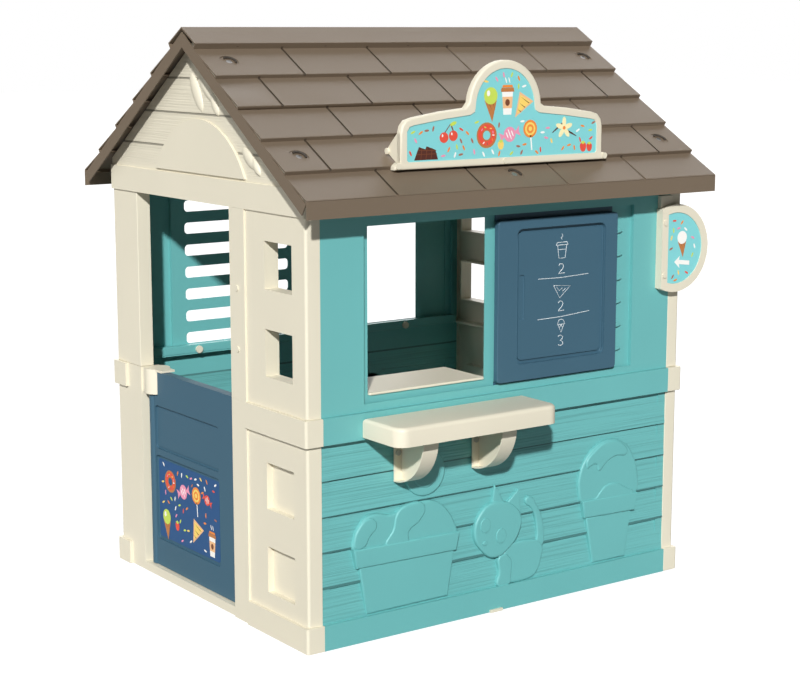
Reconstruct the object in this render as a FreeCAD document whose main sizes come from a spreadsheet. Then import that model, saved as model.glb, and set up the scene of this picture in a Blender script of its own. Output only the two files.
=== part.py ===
import FreeCAD, Part
import os
import re

# A children's playhouse with a serving window, moulded in plastic panels.
# Millimetres, +Z up, the serving wall faces -Y and the gable with the half door faces -X.
# Every size below is worked out about the middle of the house; the finished pieces are then
# shifted so that the origin is the middle of the whole object's footprint, on the floor.

doc = FreeCAD.newDocument("playhouse")
dims = doc.addObject("Spreadsheet::Sheet", "dims")

SIZES = [
    # the shell
    ("height", 1270), ("base_length", 1040), ("base_width", 852), ("collar_proud", 8),
    ("skin", 3), ("return_depth", 34), ("corner_wrap", 34), ("tongue", 20),
    ("split_height", 490), ("wall_top", 898), ("gap", 0.3),
    # bands and planks of the lower walls
    ("base_band", 54), ("mid_band_low", 434), ("plank_drop", 6), ("flange", 30),
    # roof
    ("roof_overhang", 31), ("eave_span", 972), ("eave_bottom", 902), ("fascia", 37),
    ("roof_lip", 35), ("course_first", 92), ("course_pitch", 107), ("course_drop", 9),
    ("ridge_proud", 5), ("boss_radius", 12), ("boss_length", 34), ("eave_boss_length", 70),
    ("lug_half", 17),
    ("roof_screw_x", 490), ("roof_screw_low", 145), ("roof_screw_high", 470),
    ("eave_screw", 52), ("screw_radius", 3), ("screw_head", 6.5), ("screw_head_height", 2.5),
    ("screw_play", 0.05), ("plug_length", 12),
    # long walls
    ("recess_depth", 10), ("recess_left", 372), ("recess_right", 366), ("recess_low", 497),
    ("recess_high", 886), ("window_outer", 357), ("window_inner", 52), ("window_high", 872),
    ("front_sill", 522), ("back_sill", 511), ("slot_inner", 40), ("front_slot_outer", 300),
    ("back_slot_outer", 332),
    ("slot_low", 511.5), ("slot_pitch", 53.5), ("slot_height", 27), ("slot_radius", 9),
    ("blade_proud", 5), ("ledge_height", 20), ("rail_lip", 3.5), ("rail_height", 10),
    # gables
    ("door_low_y", -126), ("door_high_y", 300), ("strip_width", 60), ("strip_proud", 4),
    ("threshold", 20), ("collar_width", 62), ("square_low_y", -366), ("square_high_y", -260),
    ("square_height", 100), ("blind_low", 91), ("blind_pitch", 182),
    ("blind_depth", 14),
    ("window_low", 556), ("window_pitch", 183), ("beam_top", 954), ("beam_proud", 4),
    ("arch_radius", 220), ("arch_centre", 856), ("arch_foot", 960), ("arch_proud", 5),
    ("cap_gap", 13.3),
    # shutter
    ("shutter_left", -32), ("shutter_width", 341), ("shutter_low", 511), ("shutter_height", 353),
    ("shutter_thick", 14), ("field_left", 53), ("field_right", 37), ("field_foot", 37),
    ("field_head", 22), ("field_radius", 16), ("field_depth", 3), ("shutter_play", 0.6),
    ("tongue_thick", 4), ("shutter_lift", 2),
    # half door and its hinge
    ("door_front", 12), ("door_thick", 22), ("door_round", 4), ("door_side_play", 16), ("door_low", 22),
    ("door_high", 485), ("hinge_inset", 36), ("hinge_y", 272), ("barrel_radius", 20),
    ("knuckle_radius", 30), ("knuckle_low", 431), ("knuckle_play", 3), ("pin_radius", 6),
    ("pin_play", 0.1), ("pin_reach", 14), ("strap_reach", 52), ("strap_thick", 5),
    ("strap_half", 18), ("block_front", 24), ("block_back", 6),
    ("panel_depth", 4), ("panel_low_y", -38), ("panel_high_y", 258),
    ("lower_panel_low", 86), ("lower_panel_high", 288), ("upper_panel_low", 303),
    ("upper_panel_high", 406), ("sticker_inset", 8), ("sticker_thick", 0.6),
    # serving shelf, brackets and counter
    ("shelf_left", -382), ("shelf_length", 421), ("shelf_front", 555), ("shelf_high", 480),
    ("shelf_skirt", 40), ("shelf_corner", 28), ("bracket_width", 38), ("bracket_first", -299),
    ("bracket_pitch", 206), ("bracket_reach", 107), ("bracket_low", 334),
    ("counter_depth", 150), ("counter_thick", 5), ("counter_skirt", 12), ("counter_play", 2),
    ("counter_nose", 4),
    # roof sign
    ("sign_middle", -12), ("sign_half", 272), ("sign_flange", 287), ("sign_low", 983),
    ("sign_shoulder", 1092), ("sign_arch", 98), ("sign_arch_height", 1105), ("sign_front", 424),
    ("sign_thick", 18), ("sign_border", 16), ("print_depth", 3), ("print_thick", 1),
    ("cheek_back", 52),
    # round sign on the corner
    ("disc_radius", 101), ("disc_inset", 40), ("disc_height", 771), ("disc_flat_inset", 84),
    ("disc_thick", 20), ("disc_border", 19), ("disc_screw_rise", 60), ("tab_height", 26), ("tab_width", 36),
    # small parts
    ("plug_radius", 9), ("plug_head", 5), ("plug_span", 309), ("plug_rise", 8),
    ("strip_screw_low", 599), ("strip_screw_pitch", 130), ("bracket_screw_height", 395),
    ("clip_length", 34), ("clip_height", 6), ("clip_proud", 5),
]
VALUE = dict(SIZES)
for row, (alias, number) in enumerate(SIZES, start=1):
    dims.set(f"A{row}", alias)
    dims.set(f"B{row}", str(number))
    dims.setAlias(f"B{row}", alias)
doc.recompute()

ALIAS = re.compile(r"\b(" + "|".join(sorted(VALUE, key=len, reverse=True)) + r")\b")


def bind(obj, prop, formula):
    """Drive one property from the sheet; the formula names the sizes by their words."""
    obj.setExpression(prop, ALIAS.sub(r"dims.\1", str(formula)))


# Places that many pieces share, as formulas on the sheet.
GABLE = "(base_length / 2 - collar_proud)"        # outer face of both gables
WALL = "(base_width / 2 - collar_proud)"          # outer face of both long walls
SIDE = f"({GABLE} - corner_wrap)"                 # end of a long wall, where the gable wraps round
EAVE = "(eave_span / 2)"
EAVE_TOP = "(eave_bottom + fascia)"
SLOPE = f"atan((height - {EAVE_TOP}) / {EAVE})"
SLOPE_LENGTH = f"sqrt(pow(height - {EAVE_TOP}; 2) + pow({EAVE}; 2))"
RIDGE_COURSE = "(course_first + 4 * course_pitch)"
BAND = "(base_width / 2)"
HINGE_X = "(hinge_inset - base_length / 2)"
ROOF_LENGTH = "(base_length + 2 * roof_overhang)"
DISC_MIDDLE = "(base_length / 2 - disc_inset)"
DISC_FLAT = "(base_length / 2 - disc_flat_inset)"
DOOR_BACK = f"(-{GABLE} + door_front + door_thick)"
X_AXIS = FreeCAD.Vector(1, 0, 0)
Y_AXIS = FreeCAD.Vector(0, 1, 0)
Z_AXIS = FreeCAD.Vector(0, 0, 1)


def fresh(kind, name):
    return doc.addObject(kind, name)


def move(obj, x, y, z):
    for axis, formula in (("x", x), ("y", y), ("z", z)):
        bind(obj, ".Placement.Base." + axis, formula)


def box(name, x, y, z):
    """A block between two places along each axis."""
    obj = fresh("Part::Box", name)
    for prop, (low, high) in (("Length", x), ("Width", y), ("Height", z)):
        bind(obj, prop, f"({high}) - ({low})")
    move(obj, x[0], y[0], z[0])
    return obj


def rod(name, radius, length, axis, at):
    """A round bar that starts at a place and runs along an axis."""
    obj = fresh("Part::Cylinder", name)
    obj.Placement.Rotation = FreeCAD.Rotation(Z_AXIS, axis)
    bind(obj, "Radius", radius)
    bind(obj, "Height", length)
    move(obj, *at)
    return obj


def roof_point(along, normal, angle=SLOPE, start=(f"(-{EAVE})", EAVE_TOP)):
    """The y and z formulas of a point on the front slope: up the slope, then out of it."""
    y = f"{start[0]} + ({along}) * cos({SLOPE}) - ({normal}) * sin({angle})"
    z = f"{start[1]} + ({along}) * sin({SLOPE}) + ({normal}) * cos({angle})"
    return y, z


def sloped_box(name, x, along, normal, turn="0 deg"):
    """A block laid on the front slope. `turn` tips it further, about its lower edge."""
    obj = fresh("Part::Box", name)
    obj.Placement.Rotation = FreeCAD.Rotation(X_AXIS, 30)
    angle = f"({SLOPE} + ({turn}))"
    bind(obj, "Length", f"({x[1]}) - ({x[0]})")
    bind(obj, "Width", f"({along[1]}) - ({along[0]})")
    bind(obj, "Height", f"({normal[1]}) - ({normal[0]})")
    bind(obj, ".Placement.Rotation.Angle", angle)
    y, z = roof_point(along[0], normal[0], angle)
    move(obj, x[0], y, z)
    return obj


def sloped_rod(name, radius, x, along, normal):
    """A round bar square to the front slope, between two heights above it."""
    obj = fresh("Part::Cylinder", name)
    obj.Placement.Rotation = FreeCAD.Rotation(X_AXIS, 30)
    bind(obj, "Radius", radius)
    bind(obj, "Height", f"({normal[1]}) - ({normal[0]})")
    bind(obj, ".Placement.Rotation.Angle", SLOPE)
    y, z = roof_point(along, normal[0])
    move(obj, x, y, z)
    return obj


def joined(name, pieces):
    obj = fresh("Part::MultiFuse", name)
    obj.Shapes = pieces
    obj.Refine = True
    return obj


def less(name, body, tools):
    """The body with the tools cut out of it."""
    obj = fresh("Part::Cut", name)
    obj.Base = body
    obj.Tool = tools[0] if len(tools) == 1 else joined(name + "_tools", tools)
    obj.Refine = True
    return obj


def shared(name, first, second):
    obj = fresh("Part::MultiCommon", name)
    obj.Shapes = [first, second]
    return obj


def group(name, pieces):
    obj = fresh("Part::Compound", name)
    obj.Links = pieces
    return obj


def half_turned(name, pieces):
    """Pieces of the far side: the same ones, half a turn about the middle of the house."""
    obj = group(name, pieces)
    obj.Placement.Rotation = FreeCAD.Rotation(Z_AXIS, 180)
    return obj


def screw(name, at, axis, reach):
    """A screw whose head stands on a face; `at` is where its axis meets that face."""
    behind = 0 if axis == X_AXIS else 1
    under_head = list(at)
    under_head[behind] = f"{at[behind]} - screw_head_height"
    return joined(name, [rod(f"{name}_shank", "screw_radius", reach, axis, at),
                         rod(f"{name}_head", "screw_head", "screw_head_height", axis,
                             under_head)])


def rounded(name, block, axis, radius):
    """The block with every edge that runs along the axis rounded."""
    doc.recompute()
    picked = []
    for number, edge in enumerate(block.Shape.Edges, start=1):
        along = edge.Vertexes[-1].Point - edge.Vertexes[0].Point
        if along.Length > 0 and abs(along.normalize().dot(axis)) > 0.999:
            picked.append((number, VALUE[radius], VALUE[radius]))
    obj = fresh("Part::Fillet", name)
    obj.Base = block
    obj.Edges = picked
    return obj


NODES = {}


def finish(node, obj, turned=False):
    """Name a finished piece and put it in the object's own frame."""
    obj.Label = node
    half_turn = FreeCAD.Rotation(Z_AXIS, 180 if turned else 0)
    obj.Placement = FreeCAD.Placement(FreeCAD.Vector(0, 0, 0), half_turn)
    bind(obj, ".Placement.Base.x", f"-({DISC_MIDDLE} + disc_radius - {ROOF_LENGTH} / 2) / 2")
    bind(obj, ".Placement.Base.y", "-(eave_span / 2 - shelf_front) / 2")
    NODES[node] = obj


# ---- Long walls ---------------------------------------------------------------------------

def side_tongues(tag, low, high):
    """Tongues at both ends of a long wall, which slip behind the gable's wrapped edge."""
    depth = (f"-{WALL} + skin", f"-{WALL} + 2 * skin")
    reach = f"({SIDE} + tongue)"
    root = f"({SIDE} - tongue)"
    return [box(f"{tag}_tongue_a", (f"-{reach}", f"-{root}"), depth, (low, high)),
            box(f"{tag}_tongue_b", (root, reach), depth, (low, high))]


def lower_wall(node, turned):
    """Lapped planks between a base band and a middle band, flanged inwards top and bottom."""
    across = (f"-{SIDE} + gap", f"{SIDE} - gap")
    plank = "((mid_band_low - base_band) / 5)"
    lean = f"atan(plank_drop / {plank})"
    inner = f"-{WALL} + plank_drop + skin"
    pieces = [
        box(f"{node}_sole", across, (f"-{BAND}", f"-{WALL} + flange"), ("0", "skin")),
        box(f"{node}_lid", across, (f"-{BAND}", f"-{WALL} + flange"),
            ("split_height - skin", "split_height")),
        box(f"{node}_base", across, (f"-{BAND}", f"-{BAND} + skin"), ("0", "base_band")),
        box(f"{node}_base_top", across, (f"-{BAND}", inner), ("base_band - skin", "base_band")),
        box(f"{node}_base_back", across, (f"-{WALL} + plank_drop", inner), ("0", "base_band")),
        box(f"{node}_middle", across, (f"-{BAND}", f"-{BAND} + skin"),
            ("mid_band_low", "split_height")),
        box(f"{node}_middle_foot", across, (f"-{BAND}", inner),
            ("mid_band_low", "mid_band_low + skin")),
        box(f"{node}_middle_back", across, (f"-{WALL} + plank_drop", inner),
            ("mid_band_low", "split_height")),
    ]
    for number in range(5):
        low = f"(base_band + {number} * {plank})"
        slab = fresh("Part::Box", f"{node}_plank_{number}")
        slab.Placement.Rotation = FreeCAD.Rotation(X_AXIS, 5)
        bind(slab, "Length", f"({across[1]}) - ({across[0]})")
        bind(slab, "Width", "skin")
        bind(slab, "Height", f"{plank} / cos({lean}) + skin / 2")
        bind(slab, ".Placement.Rotation.Angle", f"-{lean}")
        move(slab, across[0], f"-{WALL}", low)
        pieces.append(slab)
        pieces.append(box(f"{node}_riser_{number}", across,
                          (f"-{WALL}", f"-{WALL} + plank_drop + skin"), (low, f"{low} + skin")))
    pieces += side_tongues(node, "skin", "split_height - skin")
    solid = joined(f"{node}_all", pieces)
    if not turned:
        solid = less(f"{node}_cut", solid, [
            rod(f"{node}_hole_{number}", "screw_radius + screw_play", "plug_length", Y_AXIS, at)
            for number, at in enumerate(bracket_screw_places())])
    finish(node, solid, turned)


def louvre_slots(node, outer):
    """Seven slots with rounded ends."""
    deep = (f"-{WALL} - skin", f"-{WALL} + flange")
    slots = []
    for number in range(7):
        low = f"(slot_low + {number} * slot_pitch)"
        block = box(f"{node}_slot_{number}", ("slot_inner", f"{outer}"), deep,
                    (low, f"{low} + slot_height"))
        slots.append(rounded(f"{node}_slot_round_{number}", block, Y_AXIS, "slot_radius"))
    return slots


def louvre_blades(node, outer):
    """The blades between the slots stand proud of the recess and lean outwards."""
    blades = []
    face = f"(-{WALL} + recess_depth)"
    for number in range(6):
        low = f"(slot_low + slot_height + {number} * slot_pitch)"
        blades.append(box(f"{node}_blade_{number}", ("slot_inner - skin", f"{outer} + skin"),
                          (f"{face} - blade_proud", f"{face} + skin"),
                          (f"{low} + skin", f"{low} + 3 * skin")))
    return blades


def shutter_rails(node):
    """Lips along the bottom and the top of the recess: the shutter's tongues run behind them."""
    across = ("-recess_left", "recess_right")
    deep = (f"-{WALL}", f"-{WALL} + rail_lip")
    return [box(f"{node}_rail_low", across, deep, ("recess_low", "recess_low + rail_height")),
            box(f"{node}_rail_high", across, deep, ("recess_high - rail_height", "recess_high"))]


def upper_wall(node, sill, outer, turned):
    """A flat wall with a recess that holds the window and the louvres."""
    back = f"(-{WALL} + recess_depth + skin)"
    across = (f"-{SIDE} + gap", f"{SIDE} - gap")
    slab = box(f"{node}_slab", across, (f"-{WALL}", back), ("split_height + gap", "wall_top"))
    pockets = [
        box(f"{node}_recess", ("-recess_left", "recess_right"),
            (f"-{WALL} - skin", f"-{WALL} + recess_depth"), ("recess_low", "recess_high")),
        box(f"{node}_hollow_a", (f"-{SIDE} + skin", "-recess_left - skin"),
            (f"-{WALL} + skin", f"{back} + skin"), ("split_height + skin", "wall_top - skin")),
        box(f"{node}_hollow_b", ("recess_right + skin", f"{SIDE} - skin"),
            (f"-{WALL} + skin", f"{back} + skin"), ("split_height + skin", "wall_top - skin")),
    ]
    pieces = [less(f"{node}_shell", slab, pockets)]
    pieces += louvre_blades(node, outer) + shutter_rails(node)
    pieces += side_tongues(node, "split_height + skin + gap", "wall_top - skin")
    pieces.append(sloped_box(f"{node}_roof_lug", ("-lug_half", "lug_half"),
                             ("eave_screw - lug_half", "eave_screw + lug_half"),
                             ("-eave_boss_length - 2 * boss_radius", "-eave_boss_length - gap")))
    solid = joined(f"{node}_solid", pieces)
    cuts = louvre_slots(node, outer)
    window = box(f"{node}_window", ("-window_outer", "-window_inner"),
                 (f"-{WALL} - skin", f"-{WALL} + 2 * flange"), (sill, "window_high"))
    cuts.append(window)
    cuts.append(sloped_rod(f"{node}_screw_hole", "screw_radius + screw_play", "0", "eave_screw",
                           ("-eave_boss_length - plug_length", "0")))
    if not turned:
        cuts += [rod(f"{node}_sign_hole_{number}", "screw_radius + screw_play",
                     "disc_thick + 2 * skin", Y_AXIS, at)
                 for number, at in enumerate(corner_screw_places())]
    finish(node, less(f"{node}_cut", solid, cuts), turned)


def inner_rail(node, turned):
    """The rail along the inside of an upper wall, which stands on the lower wall's lid."""
    rail = box(f"{node}_rail", (f"-{SIDE} + gap", f"{SIDE} - gap"),
               (f"-{WALL} + recess_depth + skin", f"-{WALL} + flange"),
               ("split_height", "split_height + ledge_height"))
    finish(node, group(f"{node}_all", [rail]), turned)


# ---- Gables -------------------------------------------------------------------------------

def channel(tag, y, z):
    """An upright panel of the gable: a face with returns at both edges."""
    face = f"-{GABLE}"
    back = f"{face} + return_depth"
    return [box(f"{tag}_face", (face, f"{face} + skin"), y, z),
            box(f"{tag}_edge_a", (face, back), (y[0], f"{y[0]} + skin"), z),
            box(f"{tag}_edge_b", (face, back), (f"{y[1]} - skin", y[1]), z)]


def square(tag, low, grow, deep):
    """A block on the square opening that starts at one height, larger by `grow` all round."""
    return box(tag, deep, (f"square_low_y - ({grow})", f"square_high_y + ({grow})"),
               (f"{low} - ({grow})", f"{low} + square_height + ({grow})"))


WIDE = (f"(-{WALL})", "(door_low_y)")
POST = ("(door_high_y)", f"({WALL})")
STRIP = ("door_low_y - strip_width", "door_low_y")


def collars(tag, z):
    """A band on the wide panel and a collar on the post, both wrapped round the corner."""
    proud = (f"-{GABLE} - collar_proud", f"-{GABLE}")
    wrap = (f"-{GABLE} - collar_proud", f"-{SIDE}")
    return [box(f"{tag}_band", proud, (f"-{BAND}", STRIP[0]), z),
            box(f"{tag}_band_wrap", wrap, (f"-{BAND}", f"-{WALL}"), z),
            box(f"{tag}_collar", proud, (f"{BAND} - collar_width", BAND), z),
            box(f"{tag}_collar_wrap", wrap, (WALL, BAND), z)]


def lower_gable(node, turned):
    """The wide panel, the narrow post and the threshold between them are one moulding."""
    face = f"-{GABLE}"
    back = f"{face} + return_depth"
    tall = ("0", "split_height")
    pieces = channel(f"{node}_wide", WIDE, tall) + channel(f"{node}_post", POST, tall)
    pieces.append(box(f"{node}_strip", (f"{face} - strip_proud", face), STRIP, tall))
    pieces.append(box(f"{node}_step", (face, back), WIDE[1:] + POST[:1], ("0", "threshold")))
    for tag, span in (("wide", WIDE), ("post", POST)):
        pieces.append(box(f"{node}_{tag}_sole", (face, back), span, ("0", "skin")))
        pieces.append(box(f"{node}_{tag}_lid", (face, back), span,
                          ("split_height - skin", "split_height")))
    pieces += collars(f"{node}_low", ("0", "base_band"))
    pieces += collars(f"{node}_high", ("mid_band_low", "split_height"))
    cuts = []
    for number in range(2):
        low = f"(blind_low + {number} * blind_pitch)"
        pieces.append(square(f"{node}_pan_{number}", low, "skin",
                             (face, f"{face} + blind_depth + skin")))
        cuts.append(square(f"{node}_pocket_{number}", low, "0",
                           (f"{face} - skin", f"{face} + blind_depth")))
    solid = joined(f"{node}_solid", pieces)
    if not turned:
        cuts.append(rod(f"{node}_pin_hole", "pin_radius + pin_play", "pin_reach + skin", Z_AXIS,
                        (HINGE_X, "hinge_y", "threshold - pin_reach")))
    cuts.append(box(f"{node}_step_hollow", (f"{face} + skin", f"{back} + skin"),
                    ("door_low_y + skin", "hinge_y - knuckle_radius"),
                    ("skin", "threshold - skin")))
    finish(node, less(f"{node}_cut", solid, cuts), turned)


def side_panel(node, turned):
    """The upper wide panel has two square windows lined with sleeves."""
    face = f"-{GABLE}"
    back = f"{face} + return_depth"
    tall = ("split_height + gap", "wall_top")
    pieces = channel(node, WIDE, tall)
    pieces.append(box(f"{node}_strip", (f"{face} - strip_proud", face), STRIP, tall))
    for tag, low in (("sole", "split_height + gap"), ("lid", "wall_top - skin")):
        pieces.append(box(f"{node}_{tag}", (face, back), WIDE, (low, f"{low} + skin")))
    cuts = []
    for number in range(2):
        low = f"(window_low + {number} * window_pitch)"
        pieces.append(square(f"{node}_sleeve_{number}", low, "skin", (face, back)))
        cuts.append(square(f"{node}_hole_{number}", low, "0", (f"{face} - skin",
                                                               f"{back} + skin")))
    for number, at in enumerate(strip_screw_places()):
        cuts.append(rod(f"{node}_screw_hole_{number}", "screw_radius + screw_play",
                        "return_depth", X_AXIS, at))
    finish(node, less(f"{node}_cut", joined(f"{node}_solid", pieces), cuts), turned)


def upper_post(node, turned):
    """The narrow post beside the doorway, above the lower gable."""
    face = f"-{GABLE}"
    tall = ("split_height + gap", "wall_top")
    pieces = channel(node, POST, tall)
    for tag, low in (("sole", "split_height + gap"), ("lid", "wall_top - skin")):
        pieces.append(box(f"{node}_{tag}", (face, f"{face} + return_depth"), POST,
                          (low, f"{low} + skin")))
    finish(node, joined(f"{node}_all", pieces), turned)


def slope_pair(tag, x, along, normal):
    """The same sloped block on the front slope and, mirrored, on the back slope."""
    front = sloped_box(f"{tag}_front", x, along, normal)
    back = sloped_box(f"{tag}_back_source", x, along, normal)
    mirror = fresh("Part::Mirroring", f"{tag}_back")
    mirror.Source = back
    mirror.Normal = Y_AXIS
    return [front, mirror]


def pediment(node, turned):
    """The beam over the doorway and the boarded triangle above it, up to the roof."""
    face = f"-{GABLE}"
    back = f"{face} + return_depth"
    whole = (f"-{WALL}", WALL)
    sheet_block = box(f"{node}_sheet", (face, f"{face} + skin"), whole,
                      ("wall_top + gap", "height"))
    arch_disc = rod(f"{node}_arch_disc", "arch_radius", "arch_proud", X_AXIS,
                    (f"{face} - arch_proud", "0", "arch_centre"))
    arch_part = box(f"{node}_arch_part", (f"{face} - arch_proud", face), whole,
                    ("arch_foot", "height"))
    pieces = [
        sheet_block,
        shared(f"{node}_arch", arch_disc, arch_part),
        box(f"{node}_beam", (f"{face} - beam_proud", f"{face} + skin"), whole,
            ("wall_top + gap", "beam_top")),
        box(f"{node}_beam_sole", (face, back), whole, ("wall_top + gap", "wall_top + skin + gap")),
        box(f"{node}_end_a", (face, back), (f"-{WALL}", f"-{WALL} + skin"),
            ("wall_top + gap", "beam_top")),
        box(f"{node}_end_b", (face, back), (f"{WALL} - skin", WALL),
            ("wall_top + gap", "beam_top")),
    ]
    foot = f"(({EAVE} - {WALL}) / cos({SLOPE}))"
    pieces += slope_pair(f"{node}_rail", (face, back), (foot, SLOPE_LENGTH),
                         ("-boss_length - gap - skin", "-boss_length - gap"))
    solid = joined(f"{node}_solid", pieces)
    far = ("-2 * skin", "2 * height")
    cuts = slope_pair(f"{node}_above", (f"-{GABLE} - 2 * return_depth", "0"),
                      ("-base_width", f"{SLOPE_LENGTH} + base_width"), ("-cap_gap", "base_width"))
    cuts.append(box(f"{node}_below", (f"-{GABLE} - return_depth", "0"), (far[0] + " - height",
                    "height"), ("0", "wall_top + gap")))
    for number, place in enumerate(("roof_screw_low", "roof_screw_high")):
        hole = sloped_rod(f"{node}_screw_{number}", "screw_radius + screw_play",
                          "-roof_screw_x", place, ("-boss_length - 2 * plug_length", "0"))
        mirror = fresh("Part::Mirroring", f"{node}_screw_back_{number}")
        mirror.Source = hole
        mirror.Normal = Y_AXIS
        copy = sloped_rod(f"{node}_screw_front_{number}", "screw_radius + screw_play",
                          "-roof_screw_x", place, ("-boss_length - 2 * plug_length", "0"))
        cuts += [mirror, copy]
    finish(node, less(f"{node}_cut", solid, cuts), turned)


# ---- Roof ---------------------------------------------------------------------------------

ROOF_SCREWS = [("low_a", "-roof_screw_x", "roof_screw_low", "boss_length"),
               ("low_b", "roof_screw_x", "roof_screw_low", "boss_length"),
               ("high_a", "-roof_screw_x", "roof_screw_high", "boss_length"),
               ("high_b", "roof_screw_x", "roof_screw_high", "boss_length"),
               ("eave", "0", "eave_screw", "eave_boss_length")]


def roof_panel(node, turned):
    """Lapped shingle courses with a lip all round, and bosses that take the screws."""
    across = (f"-{ROOF_LENGTH} / 2", f"{ROOF_LENGTH} / 2")
    starts = ["0"] + [f"(course_first + {number} * course_pitch)" for number in range(5)]
    ends = starts[1:] + [SLOPE_LENGTH]
    pieces = []
    for number, (low, high) in enumerate(zip(starts, ends)):
        top = "ridge_proud" if number == 5 else "0"
        fall = "ridge_proud" if number == 5 else "course_drop"
        lean = f"-atan(({fall}) / (({high}) - ({low})))"
        pieces.append(sloped_box(f"{node}_course_{number}", across, (low, f"{high} + skin / 2"),
                                 (f"{top} - skin", top), lean))
        depth = "(course_drop + ridge_proud)" if number == 5 else "course_drop"
        pieces.append(sloped_box(f"{node}_riser_{number}", across, (low, f"{low} + skin"),
                                 (f"{top} - skin - {depth}", top)))
    for tag, x in (("a", (f"-{ROOF_LENGTH} / 2", f"-{ROOF_LENGTH} / 2 + skin")),
                   ("b", (f"{ROOF_LENGTH} / 2 - skin", f"{ROOF_LENGTH} / 2"))):
        pieces.append(sloped_box(f"{node}_rake_{tag}", x, ("0", SLOPE_LENGTH),
                                 ("-roof_lip", "-course_drop")))
    for tag, x, place, length in ROOF_SCREWS:
        pieces.append(sloped_rod(f"{node}_boss_{tag}", "boss_radius", x, place,
                                 (f"-{length}", "-course_drop / 2 - skin / 2")))
    solid = joined(f"{node}_solid", pieces)
    eave = box(f"{node}_eave", across, (f"-{EAVE}", f"-{EAVE} + skin"),
               ("eave_bottom", f"{EAVE_TOP} - skin / 2"))
    cuts = [box(f"{node}_over_ridge", (f"-{ROOF_LENGTH}", f"{ROOF_LENGTH}"), ("-gap / 2", "height"),
                ("0", "2 * height")),
            box(f"{node}_under_eave", (f"-{ROOF_LENGTH}", f"{ROOF_LENGTH}"), ("-2 * height", "0"),
                ("-height", "eave_bottom")),
            box(f"{node}_past_eave", (f"-{ROOF_LENGTH}", f"{ROOF_LENGTH}"),
                ("-2 * height", f"-{EAVE}"), ("-height", "height"))]
    for tag, x, place, length in ROOF_SCREWS:
        cuts.append(sloped_rod(f"{node}_hole_{tag}", "screw_radius + screw_play", x, place,
                               (f"-{length} - skin", "skin")))
        cuts.append(sloped_rod(f"{node}_head_{tag}", "screw_head + 4 * screw_play", x, place,
                               ("-course_drop", "2 * skin")))
    finish(node, less(f"{node}_cut", joined(f"{node}_lipped", [solid, eave]), cuts), turned)


def roof_screws(node):
    """Ten screws that hold the roof down, five to a panel."""
    sides = []
    for side in ("front", "back"):
        screws = []
        for tag, x, place, length in ROOF_SCREWS:
            name = f"{node}_{side}_{tag}"
            screws.append(joined(name, [
                sloped_rod(f"{name}_shank", "screw_radius", x, place,
                           (f"-{length} - plug_length", "-course_drop")),
                sloped_rod(f"{name}_head", "screw_head", x, place,
                           ("-course_drop", "-course_drop + screw_head_height"))]))
        sides.append(screws)
    finish(node, group(f"{node}_all", sides[0] + [half_turned(f"{node}_turned", sides[1])]))


# ---- Serving shutter ----------------------------------------------------------------------

def shutter(node):
    """A hollow board with a framed field and a finger pull; tongues guide it top and bottom."""
    back = f"(-{WALL} + recess_depth - blade_proud - shutter_play)"
    front = f"({back} - shutter_thick)"
    wide = ("shutter_left", "shutter_left + shutter_width")
    tall = ("shutter_low", "shutter_low + shutter_height")
    board = rounded(f"{node}_round", box(f"{node}_board", wide, (front, back), tall), Y_AXIS,
                    "skin")
    field = box(f"{node}_field", ("shutter_left + field_left",
                                  "shutter_left + shutter_width - field_right"),
                (f"{front} - skin", f"{front} + field_depth"),
                ("shutter_low + field_foot", "shutter_low + shutter_height - field_head"))
    hollow = box(f"{node}_hollow", ("shutter_left + skin", "shutter_left + shutter_width - skin"),
                 (f"{front} + field_depth + skin", f"{back} + skin"),
                 ("shutter_low + 2 * skin", "shutter_low + shutter_height - 2 * skin"))
    shell = less(f"{node}_shell", board,
                 [rounded(f"{node}_field_round", field, Y_AXIS, "field_radius"), hollow])
    guide_back = f"(-{WALL} + recess_depth - shutter_play)"
    guide_front = f"({guide_back} - tongue_thick)"
    pieces = [shell]
    for tag, web, tip in (
            ("low", ("shutter_low", "shutter_low + 1.5 * skin"),
             ("recess_low + gap", "shutter_low + skin")),
            ("high", ("shutter_low + shutter_height - 1.5 * skin", "shutter_low + shutter_height"),
             ("shutter_low + shutter_height - skin", "recess_high - shutter_lift"))):
        pieces.append(box(f"{node}_{tag}_web", wide, (f"{back} - skin", guide_back), web))
        pieces.append(box(f"{node}_{tag}_tongue", wide, (guide_front, guide_back), tip))
    finish(node, joined(f"{node}_all", pieces))


# ---- Half door ----------------------------------------------------------------------------

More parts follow.
